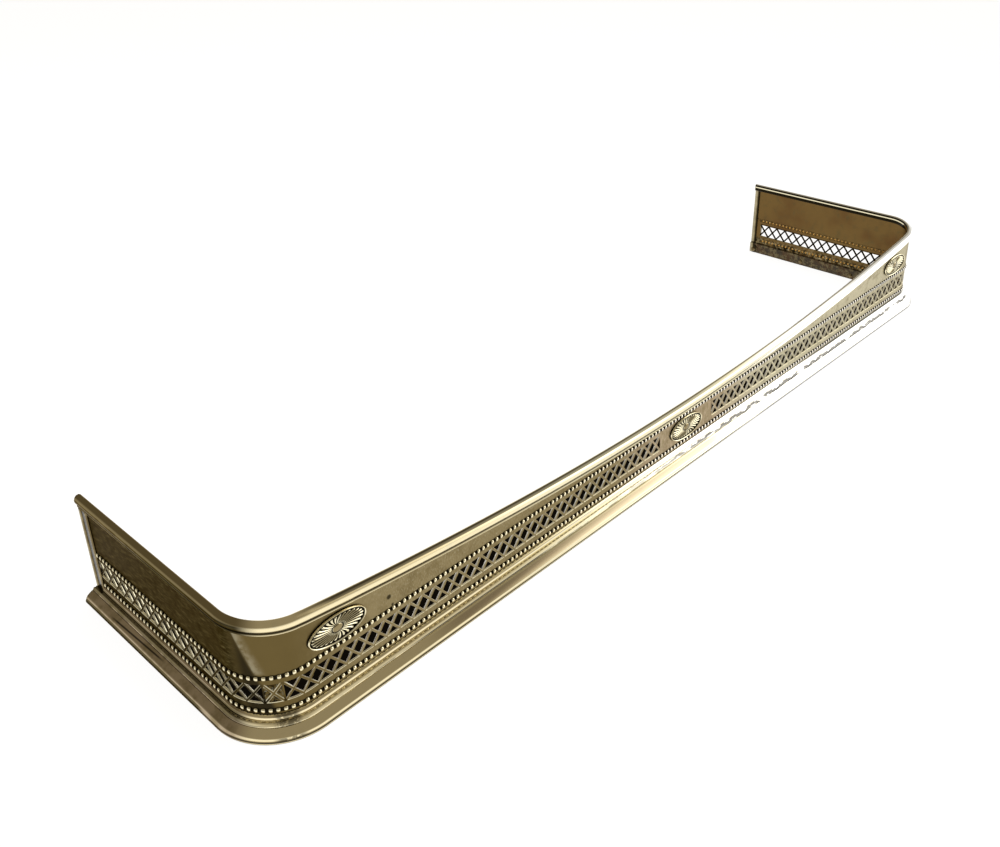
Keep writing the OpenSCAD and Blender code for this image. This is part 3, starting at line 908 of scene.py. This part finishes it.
class Nodes:
    """A node tree in the making. A value is a number, a colour or another node's output."""

    def __init__(self, tree):
        self.tree = tree

    def feed(self, socket, value):
        if isinstance(value, bpy.types.NodeSocket):
            self.tree.links.new(value, socket)
        elif socket.type == "RGBA":
            socket.default_value = (*value, 1)
        else:
            socket.default_value = value

    def add(self, kind, inputs, **settings):
        node = self.tree.nodes.new("ShaderNode" + kind)
        for key, value in settings.items():
            setattr(node, key, value)
        for key, value in inputs.items():
            self.feed(node.inputs[key], value)
        return node

    def maths(self, operation, *values):
        """The operation on the first two values, then on its result and the next value, and so on."""
        total = values[0]
        for value in values[1:]:
            total = self.add("Math", {0: total, 1: value}, operation=operation).outputs[0]
        return total

    def plus(self, *values):
        return self.maths("ADD", *values)

    def less(self, a, b):
        return self.maths("SUBTRACT", a, b)

    def times(self, *values):
        return self.maths("MULTIPLY", *values)

    def most(self, *values):
        return self.maths("MAXIMUM", *values)

    def rest(self, value):
        return self.less(1, value)

    def off(self, value, middle=0.0):
        """How far a value lies from a middle, to either side."""
        return self.add("Math", {0: self.less(value, middle)}, operation="ABSOLUTE").outputs[0]

    def vector_maths(self, operation, *values):
        return self.add("VectorMath", dict(enumerate(values)), operation=operation)

    def from_middle(self, x, y):
        return self.vector_maths("LENGTH", self.gather(x, y)).outputs["Value"]

    def between(self, value, low, high):
        """Rises smoothly from 0 at low to 1 at high, also where low is the greater."""
        inputs = {"Value": value, "From Min": low, "From Max": high}
        return self.add("MapRange", inputs, interpolation_type="SMOOTHSTEP").outputs["Result"]

    def band(self, value, low, high, soft):
        """1 from low to high, with soft edges outside them."""
        return self.times(self.between(value, low - soft, low), self.between(value, high + soft, high))

    def split(self, vector):
        return self.add("SeparateXYZ", {"Vector": vector}).outputs

    def gather(self, x, y, z=0.0):
        return self.add("CombineXYZ", {"X": x, "Y": y, "Z": z}).outputs[0]

    def mix(self, share, a, b):
        node = self.add("Mix", {}, data_type="RGBA")
        self.feed(node.inputs[0], share)
        self.feed(node.inputs[6], a)
        self.feed(node.inputs[7], b)
        return node.outputs[2]

    def noise(self, place, scale, detail=3.0, rough=0.55):
        inputs = {"Vector": place, "Scale": scale, "Detail": detail, "Roughness": rough}
        return self.add("TexNoise", inputs).outputs["Fac"]

    def object_place(self):
        return self.add("TexCoord", {}).outputs["Object"]

    def run(self, value, stops):
        """A colour, or a level, that changes from stop to stop along a value."""
        low, high = stops[0][0], stops[-1][0]
        share = self.add("MapRange", {"Value": value, "From Min": low, "From Max": high}).outputs["Result"]
        node = self.add("ValToRGB", {"Fac": share})
        elements = node.color_ramp.elements
        while len(elements) < len(stops):
            elements.new(0.5)
        for element, (stop, shade) in zip(elements, stops):
            element.position = (stop - low) / (high - low)
            element.color = (shade,) * 3 + (1,) if isinstance(shade, float) else (*shade, 1)
        return node.outputs["Color"]


class Finish(Nodes):
    """The finish of a metal surface, painted layer over layer."""

    def __init__(self, name, metallic=1.0, edge=BRIGHT_EDGE):
        self.material = bpy.data.materials.new(name)
        self.material.use_nodes = True
        super().__init__(self.material.node_tree)
        self.shader = self.tree.nodes["Principled BSDF"]
        self.shader.inputs["Metallic"].default_value = metallic
        self.shader.inputs["Specular Tint"].default_value = (*edge, 1)
        self.place = self.object_place()
        self.shade = None

    def strip(self):
        """Place along the strip, height and distance out of its face, in millimetres."""
        mark = self.add("Attribute", {}, attribute_name="strip").outputs["Vector"]
        node = self.add("VectorMath", {"Vector": mark, "Scale": 1 / MM}, operation="SCALE")
        return self.split(node.outputs[0])

    def specks(self, scale, low, high, detail=4, rough=0.7):
        """1 in the specks of a fine pattern, where it is past high, and 0 under low."""
        return self.between(self.noise(self.place, scale, detail, rough), low, high)

    def paint(self, colour, *shares):
        """Puts a colour over the shade, as strongly as the product of the shares."""
        self.shade = self.mix(self.times(*shares), self.shade, colour)

    def done(self, rough, relief, relief_mm):
        self.feed(self.shader.inputs["Base Color"], self.shade)
        self.feed(self.shader.inputs["Roughness"], rough)
        bump = self.add("Bump", {"Height": relief, "Strength": 1.0, "Distance": relief_mm * MM})
        self.feed(self.shader.inputs["Normal"], bump.outputs["Normal"])
        return self.material


def front_tones(f, along, height, mottle):
    """The front of the sheet, paler from the left corner to the right one, with fine ripples."""
    b = brass()
    f.shade = f.run(along, [
        (-600, b.near), (-565, b.near), (-490, b.sheet), (-150, b.sheet), (-60, b.patch), (50, b.patch),
        (150, b.pale), (600, b.pale),
    ])
    f.paint(b.near, 0.4, f.between(mottle, 0.45, 0.7))
    fine_ripples = f.noise(f.gather(f.times(along, 0.9), f.times(height, 0.3)), 1.0, 3, 0.7)
    rippled = f.between(along, -520, -430)
    f.paint(b.near, 0.45, rippled, f.between(fine_ripples, 0.5, 0.7))
    f.paint(b.pale, 0.3, rippled, f.between(fine_ripples, 0.48, 0.3))
    ripples = f.noise(f.gather(f.times(along, 0.55), f.times(height, 0.09)), 1.0, 4, 0.6)
    f.paint(b.sheet, 0.6, f.band(along, -56, 42, 10), f.between(ripples, 0.42, 0.62))


def side_tones(f, along, height, mottle):
    """The left return, darkened as a painted dark reflection over slanting streaks, and a painted highlight
    that slants down the corner.
    """
    b = brass()
    front = f.shade
    turned = f.add("Mapping", {
        "Vector": f.gather(along, height), "Rotation": (0, 0, math.radians(38)), "Scale": (0.1, 0.5, 1),
    })
    streaks = f.noise(turned.outputs[0], 1.0, 5, 0.75)
    # Painted dark reflection: the left return is much darker than the front, streaked olive, sheet brass and
    # dark
    f.shade = f.mix(f.between(streaks, 0.46, 0.62), b.aged, b.olive)
    f.paint(b.sheet, 0.65, f.between(streaks, 0.58, 0.7))
    f.paint(b.dark, 0.75, f.between(streaks, 0.45, 0.33))
    f.shade = f.mix(f.between(along, *SHEET_TURN), front, f.shade)
    # Painted highlight slanting down the corner, with its left edge painted dark
    past_shine = f.plus(along, f.times(height, 0.308), 578.7)
    f.paint(b.aged, f.between(along, *reversed(SHEET_TURN)), f.between(past_shine, 2, -4))
    shine = f.times(f.between(past_shine, -2, 0), f.between(past_shine, 11, 0), f.between(height, 61, 66))
    f.paint(b.pale, 0.3, shine, f.between(mottle, 0.25, 0.6))


def inside_tones(f, height, mottle, inner):
    """The inner side, brown and rusty, dark and flecked low down."""
    b = brass()
    outside = f.shade
    f.shade = f.mix(f.between(f.noise(f.place, 12, 3), 0.42, 0.68), b.inside, b.rust)
    f.paint(b.olive, 0.5, f.between(mottle, 0.5, 0.75))
    low = f.between(height, 34, 22)
    f.paint(b.dark, low, f.between(mottle, 0.35, 0.6))
    f.paint(b.sheet, 0.8, low, f.specks(190, 0.47, 0.6))
    f.paint(b.patch, 0.7, low, f.specks(190, 0.6, 0.68))
    f.shade = f.mix(inner, outside, f.shade)


def aged_sheet(name):
    """Sheet brass, aged and mottled, with bright beads and painted shade between them, and worn edges at the
    openings with painted highlights and shade.
    """
    b, g = brass(), gallery()
    f = Finish(name, edge=DULL_EDGE)
    along, height, out = f.strip()
    chart_x, cell_y = f.split(f.add("UVMap", {}, uv_map="cell").outputs["UV"])[:2]
    inner = f.between(chart_x, INNER_CHART / 2 - 10, INNER_CHART / 2 + 10)
    outer = f.rest(inner)
    cell_x = f.less(chart_x, f.times(inner, INNER_CHART))
    on_chart = f.between(cell_x, 30, 20)
    mottle = f.noise(f.place, 85, 5, 0.65)
    front_tones(f, along, height, mottle)
    side_tones(f, along, height, mottle)
    inside_tones(f, height, mottle, inner)

    half_bar = g.lattice_bar / 2 / MM
    slope = Vector((g.lattice_pitch, g.lattice_height)).normalized()
    across_x, across_y = f.times(cell_x, slope.y), f.times(cell_y, slope.x)
    off_bar = f.maths("MINIMUM", f.off(f.plus(across_x, across_y)), f.off(across_x, across_y))
    charted = f.times(f.between(f.off(height, g.lattice_middle / MM), 10.4, 10.1), on_chart)
    outside = f.times(charted, outer)
    scratched = f.mix(f.specks(260, 0.42, 0.56), b.near, b.dark)
    scratched = f.mix(f.times(0.6, f.specks(520, 0.58, 0.68, 2, 0.55)), scratched, b.pale)
    blind = f.times(outside, f.between(off_bar, half_bar + 0.2, half_bar + 0.5))
    f.paint(scratched, blind, f.between(f.off(cell_y), 9.6, 9.2))
    # Painted highlights on the bars' edges, on the walls of the openings and on their sills, and painted
    # shade on the walls of the right return
    bar_edge_highlight = f.band(off_bar, half_bar - 0.15, half_bar + 0.1, 0.4)
    f.paint(b.pale, 0.8, outside, bar_edge_highlight, f.between(mottle, 0.3, 0.6))
    wall = f.times(outside, f.between(out, -0.42, -0.55))
    f.paint(f.mix(f.between(along, -640, -560), b.pale, b.gleaming), wall)
    f.paint(b.dark, wall, f.between(along, 590, 620))
    f.paint(b.polished, 0.8, outside, f.between(cell_y, -9.3, -9.6), f.between(off_bar, 0.5, 1.5))
    # Painted shade along the bars on the inner side
    f.paint(b.dark, charted, inner, f.between(off_bar, half_bar + 1.5, half_bar + 0.5))

    rows = f.most(*(f.band(height, row / MM - 2.9, row / MM + 2.9, 0.1) for row in (g.bead_low, g.bead_high)))
    dome = f.between(out, 0.25, 0.8)
    # Painted shade round the feet of the beads, between them in the row
    shade_beside_beads = f.times(f.between(f.from_middle(cell_x, cell_y), 2.0, 2.5), f.between(f.off(cell_y), 2.9, 1.9))
    f.paint(b.dark, rows, shade_beside_beads, f.rest(dome), outer)
    # The domes are polished brass, with a painted gleam from the middle to the right
    f.paint(f.mix(f.between(along, -300, 100), b.polished, b.gleaming), dome, outer)
    # Painted shade in a slit across the flanks of each bead
    shaded_slit = f.times(f.between(f.off(cell_x), 1.15, 1.75), f.between(f.off(cell_y), 2.6, 2.2))
    f.paint(b.dark, rows, shaded_slit, on_chart, outer)
    f.paint(b.dark, 0.6, rows, inner, f.specks(420, 0.42, 0.58, 2, 0.55))
    f.paint(b.gilt, inner, f.between(out, -0.79, -0.4))
    f.paint(b.dark, 0.6, inner, f.between(out, 0.6, 1.0))
    # Painted shade along the sheet where it meets the base's fillet
    f.paint(b.dark, 0.8, f.band(height, 18.0, 19.2, 0.6), outer)
    for spot_along, spot_height, size in SPOTS:
        away = f.from_middle(f.less(along, spot_along), f.less(height, spot_height))
        f.paint(b.dark, 0.85, f.between(away, size + 0.8, size - 0.8))

    rough = f.less(f.plus(0.24, f.times(0.2, mottle)), f.times(dome, outer, 0.16))
    relief = f.plus(f.times(0.6, mottle), f.times(0.25, f.noise(f.place, 700, 2)))
    return f.done(rough, relief, 0.12)


class Polish(Finish):
    """Polished brass of a moulding, warm at the left, with a painted gleam on the right."""

    def __init__(self, name, edge, stain_scale):
        super().__init__(name, edge=edge)
        self.along, self.height, self.out = self.strip()
        self.stains = self.noise(self.place, stain_scale, 5, 0.6)
        drawn = self.gather(self.times(self.along, 0.02), self.times(self.height, 1.5), self.out)
        self.rubbed = self.noise(drawn, 1.0, 3)

    # Paints the polished brass, with a painted gleam where bright is 1
    def clean(self, bright):
        b = brass()
        warm = self.mix(self.times(0.25, self.between(self.along, -200, -400)), b.polished, b.gilt)
        self.shade = self.mix(bright, warm, b.gleaming)
        self.paint(b.pale, 0.35, self.between(self.stains, 0.55, 0.75))

    def polished(self, rough):
        return self.done(rough, self.plus(self.times(0.5, self.rubbed), self.times(0.5, self.stains)), 0.03)


def rail_brass(name, edge=BRIGHT_EDGE):
    """Polished brass of the rail, with painted dark reflection on its top, low on its outer face and on its
    left return, painted shade in its groove and on its inner side, and a painted highlight line there.
    """
    b = brass()
    f = Polish(name, edge, 60)
    along, under, out = f.along, f.height, f.out
    # Where the rail gets its painted gleam, right of the middle
    bright = f.between(along, 60, 260)
    f.clean(bright)
    # Painted dark reflection on the lower outer face, where the rail has no painted gleam
    outer = f.times(f.between(out, 0.1, 0.5), f.rest(bright))
    f.paint(b.olive, 0.55, f.band(under, -11.6, -7.9, 1.2), outer)
    # Painted dark reflection along the rail's top, by an amount that changes along the rail
    painted_top_shade = f.run(along, [
        (-560, 0.0), (-520, 0.85), (-260, 0.88), (0, 0.75), (180, 0.3), (330, 0.4), (400, 0.65), (600, 0.8),
    ])
    f.paint(b.dark, f.band(out, -1.2, 1.4, 0.9), f.between(under, -3.0, -2.0), painted_top_shade)

    # The left return, painted as a dark reflection: brown and olive below, sheet brass along the top, with a
    # dark line painted just below it
    clean = f.shade
    f.shade = f.mix(f.times(0.7, f.between(along, -710, -810)), b.olive, b.sheet)
    f.paint(b.aged, 0.6, f.between(along, -700, -640))
    f.paint(b.aged, 0.5, f.between(f.stains, 0.45, 0.65))
    f.shade = f.mix(f.between(under, -2.5, -4.5), b.sheet, f.shade)
    f.paint(b.dark, 0.5, f.band(under, -4.9, -4.2, 0.4))
    f.shade = f.mix(f.between(along, *RAIL_TURN), clean, f.shade)

    # Painted shade in the groove above the lip
    f.paint(b.dark, 0.85, f.band(under, -10.9, -10.3, 0.5), outer)
    # Painted shade on the inner side, dark all over on the right return, with a painted highlight line along
    # it
    inner_side = f.between(out, -3.4, -4.3)
    on_return = f.times(inner_side, f.between(along, 520, 600))
    f.paint(b.patch, inner_side)
    f.paint(b.dark, on_return)
    f.paint(b.polished, f.band(under, -4.7, -3.8, 0.6), inner_side)
    return f.polished(f.plus(0.05, f.times(0.08, f.rubbed)))


def base_brass(name, edge=BRIGHT_EDGE):
    """Polished brass of the base moulding, with painted dark reflection on its left return, cove and slope
    and across its gleam, and painted shade in its steps.
    """
    b = brass()
    f = Polish(name, edge, 45)
    along, height, out = f.along, f.height, f.out
    # Where the base gets its painted gleam, reaching farther left on its upper faces
    bright = f.between(f.less(along, f.times(f.between(out, 5.5, 6.5), 180)), -280, 40)
    f.clean(bright)
    # Painted dark reflection in the cove, away from the gleam, and on the slope left of the middle
    in_cove = f.times(f.band(height, 13.7, 17.2, 0.3), f.between(out, 2.4, 2.0), f.rest(bright))
    f.paint(f.mix(0.5, b.patch, b.sheet), 0.75, in_cove)
    f.paint(b.patch, 0.75, f.band(out, 9.0, 12.8, 1.4), f.band(along, -380, 20, 70))

    # The left return, painted as a dark reflection: brown with stains, olive in the cove and on the lip
    clean = f.shade
    f.shade = f.mix(f.times(0.7, f.between(f.stains, 0.45, 0.65)), b.patch, b.sheet)
    f.paint(b.olive, 0.8, f.between(out, 6.2, 5.8), f.between(height, 17.6, 16.9))
    f.paint(b.olive, 0.9, f.between(out, 13.9, 14.3), f.between(along, -655, -668))
    f.shade = f.mix(f.between(along, *BASE_TURN), clean, f.shade)

    # Painted shade in the groove, along the lip and the foot and where the base meets the sheet, and painted
    # dark reflections at the left corner and across the gleam
    wavy = f.noise(f.gather(f.times(along, 0.03), f.times(out, 0.2)), 1.0, 3, 0.6)
    deep_groove = f.times(f.between(along, -480, -420), f.between(along, -240, -280))
    groove = f.most(deep_groove, f.times(0.6, f.between(wavy, 0.45, 0.55)))
    corner_dark_reflection = f.times(f.band(along, -586, -574, 7), f.specks(160, 0.38, 0.52), 0.8)
    wander = f.noise(f.gather(f.times(along, 0.05), 7.0), 1.0, 3, 0.6)
    off_dark_reflection = f.off(out, f.plus(2.2, f.times(wander, 7)))
    painted_shade = f.most(
        f.times(groove, f.band(out, 5.95, 6.25, 0.25)),
        f.times(f.band(height, 1.3, 2.1, 0.4), f.between(out, 14.4, 14.8), f.between(along, 200, 60)),
        f.between(height, 0.7, 0.2),
        f.times(corner_dark_reflection, f.most(f.between(out, 7.2, 6.4), f.band(out, 14.2, 15.2, 0.3))),
        f.times(bright, f.between(off_dark_reflection, 1.2, 0.8), f.between(wavy, 0.38, 0.46)),
        f.times(0.8, f.between(along, 60, 160), f.between(height, 2.8, 2.0), f.between(out, 13.8, 14.3)),
        f.times(f.between(along, 200, 330), f.between(height, 17.4, 18.0)),
    )
    f.paint(b.dark, painted_shade, 0.88)
    # A painted dark reflection streaking across the slope of the left return
    slant = 0.028
    off_reflection_streak = f.off(out, f.less(10.9 - 800 * slant, f.times(along, slant)))
    f.paint(b.dark, 0.85, f.between(off_reflection_streak, 0.9, 0.4), f.band(along, -812, -745, 18))
    return f.polished(f.plus(0.03, f.times(0.12, f.rubbed, f.between(out, 1.5, 4.0))))


def oval_brass(name):
    """Pressed brass with bright crests, grime and painted shade in its hollows, painted shade round its foot,
    and a dull boss.
    """
    b = brass()
    f = Finish(name)
    dirt = f.add("Attribute", {}, attribute_name="dirt").outputs["Fac"]
    stains = f.noise(f.place, 120, 4)
    f.shade = f.mix(f.times(0.5, f.between(stains, 0.5, 0.7)), b.polished, b.pale)
    f.paint(b.dark, f.between(dirt, 0.2, 0.6))
    f.paint(b.sheet, f.between(dirt, -0.1, -0.7))
    return f.done(f.plus(0.10, f.times(0.12, stains)), stains, 0.05)


def post_brass(name):
    """Brass of the posts and caps, rubbed bright, with brown stains."""
    b = brass()
    f = Finish(name)
    rubbed = f.noise(f.vector_maths("MULTIPLY", f.place, (900, 900, 40)).outputs[0], 1.0, 3)
    f.shade = f.mix(f.specks(75, 0.35, 0.6, 5, 0.6), b.sheet, b.near)
    from_rear = f.maths("DIVIDE", f.less(shape().rear, f.split(f.place)[1]), MM)
    f.paint(b.dark, 0.95, f.band(from_rear, 6.0, 12.0, 0.8))
    f.paint(b.pale, 0.3, f.between(from_rear, 5.0, 3.5))
    return f.done(f.plus(0.14, f.times(0.16, rubbed)), rubbed, 0.03)


def old_iron(name):
    """Iron of the foot bar, brown with rust and greenish stains."""
    b = brass()
    f = Finish(name, metallic=0.4)
    pits = f.noise(f.place, 300, 4, 0.7)
    f.shade = f.mix(f.specks(55, 0.4, 0.62, 4, 0.6), b.iron, b.rust)
    f.paint(b.olive, 0.7, f.specks(95, 0.5, 0.65, 4, 0.6))
    f.paint(b.dark, f.between(pits, 0.56, 0.7))
    f.paint(b.sheet, 0.85, f.specks(190, 0.47, 0.6))
    return f.done(f.plus(0.45, f.times(0.3, pits)), pits, 0.2)


def old_fixings(name):
    """Brass of the screws and nuts, mottled with rust-brown stains."""
    b = brass()
    f = Finish(name)
    stains = f.noise(f.place, 380, 4, 0.6)
    f.shade = f.mix(f.between(stains, 0.42, 0.62), b.sheet, b.rust)
    return f.done(f.plus(0.25, f.times(0.2, stains)), stains, 0.06)


# The shaded copies of the rail and base finishes are for their left return, as a painted dark reflection
FINISHES = {
    "dull_rail": lambda name: rail_brass(name, DULL_EDGE),
    "dull_base": lambda name: base_brass(name, DULL_EDGE),
}
FINISHES.update(
    (make.__name__, make)
    for make in (aged_sheet, rail_brass, base_brass, oval_brass, post_brass, old_iron, old_fixings)
)


def finish(name):
    return bpy.data.materials.get(name) or FINISHES[name](name)


def shade_left_return(piece, name):
    """Gives the left return of a piece a darker copy of its finish, as a painted dark reflection."""
    piece.data.materials.append(finish(name))
    start = -shape().foot_half_width + shape().corner_radius / 4
    for face in piece.data.polygons:
        if face.center.x < start:
            face.material_index = 1


class FENDER_OT_kept_parts(bpy.types.Operator):
    """Gives the posts, caps, bar, screws and nuts their finishes"""

    bl_idname = "fender.kept_parts"
    bl_label = "Posts, caps, bar and fixings"

    def execute(self, context):
        for name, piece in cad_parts.items():
            if name == "foot_bar":
                material = finish("old_iron")
            elif "screw" in name or "nut" in name:
                material = finish("old_fixings")
            else:
                material = finish("post_brass")
            piece.data.materials.clear()
            piece.data.materials.append(material)
        return {"FINISHED"}


# ---- Stage ----

# The floor's shade behind the front: its depth, how much deeper it is at the corners, and its edge
SHADE_DEPTH = 62 * MM
SHADE_FLARE = 24 * MM
SHADE_EDGE = 16 * MM
# Distances at which the shade behind the left return is gone, and at which it is full
LEFT_SHADE = 42 * MM, 30 * MM
REAR_SHADE = 50 * MM, 36 * MM
POST_SHADE = 1 * MM, 4 * MM
# How much the shade's left edge moves aside for each step past the rear end
POST_SLANT = 0.4
# How strong the shade is, how much weaker it is on the right, where it weakens, and its tint
SHADE_STRENGTH = 0.996
SHADE_LOSS = 0.02
LOSS_RANGE = 100 * MM, 550 * MM
SHADE_TINT = 1.0, 0.72, 0.42
# The window's azimuth and elevation, and the angles from it at which its light is gone and full
WINDOW_HEADING = -15, 12
WINDOW_EDGE = 42, 24
# Elevations at which the light round the horizon is gone and full, and its level
LOW_LIGHT = 20, 4
LOW_LEVEL = 0.5
FLOOR_SIZE = 30
LAMP_PLACE = -0.3, 0.2, 2.4
LAMP_SIZE = 2.6, 2.0


def view_turn(azimuth, elevation, roll):
    back = Vector((
        math.sin(azimuth) * math.cos(elevation), -math.cos(azimuth) * math.cos(elevation), math.sin(elevation)
    ))
    right = Vector((math.cos(azimuth), math.sin(azimuth), 0))
    up = back.cross(right)
    turn = Matrix((right, up, back)).transposed()
    return turn @ Matrix.Rotation(roll, 3, "Z")


def shade_behind(nodes, place):
    """1 on the floor close behind the front and the left return, where little light reaches it."""
    s = shape()
    x, y, _z = nodes.split(place)
    corner_x, corner_y = corner_middle()
    behind_left = nodes.plus(x, s.foot_half_width)
    behind_rear = nodes.most(nodes.less(y, s.rear), 0)
    sideways = nodes.maths("DIVIDE", x, corner_x)
    reach = nodes.plus(SHADE_DEPTH, nodes.times(sideways, sideways, SHADE_FLARE))
    front = nodes.between(nodes.less(nodes.plus(y, s.foot_front), reach), 0, -SHADE_EDGE)
    clear_of_post = nodes.less(behind_left, nodes.times(behind_rear, POST_SLANT))
    left = nodes.times(
        nodes.between(behind_left, *LEFT_SHADE),
        nodes.between(clear_of_post, *POST_SHADE),
        nodes.between(behind_rear, *REAR_SHADE),
    )
    past_x = nodes.most(nodes.less(nodes.off(x), corner_x), 0)
    past_y = nodes.most(nodes.less(corner_y, y), 0)
    inside = nodes.between(nodes.from_middle(past_x, past_y), s.corner_radius, s.corner_radius - 2 * MM)
    return nodes.times(nodes.most(front, left), inside)


def pale_floor():
    """A white floor that keeps the fender's shadow."""
    plan = bpy.context.scene.fender_stage
    material = bpy.data.materials.new("pale_floor")
    material.use_nodes = True
    n = Nodes(material.node_tree)
    n.tree.nodes.clear()
    place = n.object_place()
    depth = n.less(SHADE_STRENGTH, n.times(SHADE_LOSS, n.between(n.split(place)[0], *LOSS_RANGE)))
    lit = n.rest(n.times(depth, shade_behind(n, place)))
    path = n.add("LightPath", {}).outputs
    seen = n.most(path["Is Camera Ray"], path["Is Glossy Ray"], path["Is Transmission Ray"])
    tint = n.mix(lit, SHADE_TINT, (1, 1, 1))
    glow = n.add("Emission", {"Color": tint, "Strength": n.times(seen, lit, plan.floor_glow)})
    plain = n.add("BsdfDiffuse", {"Color": n.mix(lit, (0, 0, 0), plan.floor_colour)})
    both = n.add("AddShader", {0: glow.outputs[0], 1: plain.outputs[0]})
    out = n.add("OutputMaterial", {})
    n.feed(out.inputs["Surface"], both.outputs[0])
    return material


def heading(azimuth, elevation):
    """The direction with that azimuth, counted from +X towards +Y, and elevation, in degrees."""
    a, e = math.radians(azimuth), math.radians(elevation)
    return math.cos(a) * math.cos(e), math.sin(a) * math.cos(e), math.sin(e)


def studio_world():
    """Soft light that is bright low on the right and dimmer overhead and behind."""
    plan = bpy.context.scene.fender_stage
    world = bpy.data.worlds.new("studio")
    world.use_nodes = True
    n = Nodes(world.node_tree)
    way = n.add("TexCoord", {}).outputs["Generated"]
    towards = n.vector_maths("DOT_PRODUCT", way, heading(*WINDOW_HEADING)).outputs["Value"]
    window = n.between(towards, *[math.cos(math.radians(edge)) for edge in WINDOW_EDGE])
    low = n.between(n.split(way)[2], *[math.sin(math.radians(edge)) for edge in LOW_LIGHT])
    strength = n.plus(plan.sky, n.times(window, plan.window), n.times(low, LOW_LEVEL))
    background = world.node_tree.nodes["Background"]
    n.feed(background.inputs["Strength"], strength)
    n.feed(background.inputs["Color"], n.mix(n.most(window, low), plan.sky_colour, (1, 1, 1)))
    return world


class FENDER_OT_stage(bpy.types.Operator):
    """Sets out the floor, the lamp, the world and the camera"""

    bl_idname = "fender.stage"
    bl_label = "Stage"

    def execute(self, context):
        plan = context.scene.fender_stage
        context.scene.view_settings.view_transform = "Standard"
        bpy.ops.mesh.primitive_plane_add(size=FLOOR_SIZE, location=(0, 0, 0))
        floor = named("floor")
        floor.data.materials.append(pale_floor())
        context.scene.world = studio_world()
        bpy.ops.object.light_add(type="AREA", location=LAMP_PLACE)
        lamp = bpy.context.object
        lamp.name = "soft_lamp"
        lamp.data.shape = "RECTANGLE"
        lamp.data.size, lamp.data.size_y = LAMP_SIZE
        lamp.data.energy = plan.lamp
        lamp.visible_glossy = False

        bpy.ops.object.camera_add(location=plan.camera_place)
        camera = bpy.context.object
        camera.name = "camera"
        camera.rotation_euler = view_turn(plan.azimuth, plan.elevation, plan.roll).to_euler()
        camera.data.lens = plan.lens
        camera.data.sensor_width = 36
        camera.data.clip_start = 0.01
        context.scene.camera = camera
        return {"FINISHED"}


# ---- Panel and run ----

OPERATORS = (
    FENDER_OT_gallery,
    FENDER_OT_rail,
    FENDER_OT_base,
    FENDER_OT_medallions,
    FENDER_OT_kept_parts,
    FENDER_OT_stage,
)


class FENDER_PT_panel(bpy.types.Panel):
    """Lists the steps that build the fender"""

    bl_label = "Fire fender"
    bl_idname = "FENDER_PT_panel"
    bl_space_type = "VIEW_3D"
    bl_region_type = "UI"
    bl_category = "Fender"

    def draw(self, context):
        for operator in OPERATORS:
            self.layout.operator(operator.bl_idname)


def register():
    for group in GROUPS.values():
        bpy.utils.register_class(group)
    for name, group in GROUPS.items():
        setattr(bpy.types.Scene, name, PointerProperty(type=group))
    for operator in OPERATORS:
        bpy.utils.register_class(operator)
    bpy.utils.register_class(FENDER_PT_panel)


def unregister():
    bpy.utils.unregister_class(FENDER_PT_panel)
    for operator in reversed(OPERATORS):
        bpy.utils.unregister_class(operator)
    for name in GROUPS:
        delattr(bpy.types.Scene, name)
    for group in reversed(list(GROUPS.values())):
        bpy.utils.unregister_class(group)


def build():
    register()
    bpy.ops.fender.gallery()
    bpy.ops.fender.rail()
    bpy.ops.fender.base()
    bpy.ops.fender.medallions()
    bpy.ops.fender.kept_parts()
    bpy.ops.fender.stage()


if __name__ == "__main__":
    build()
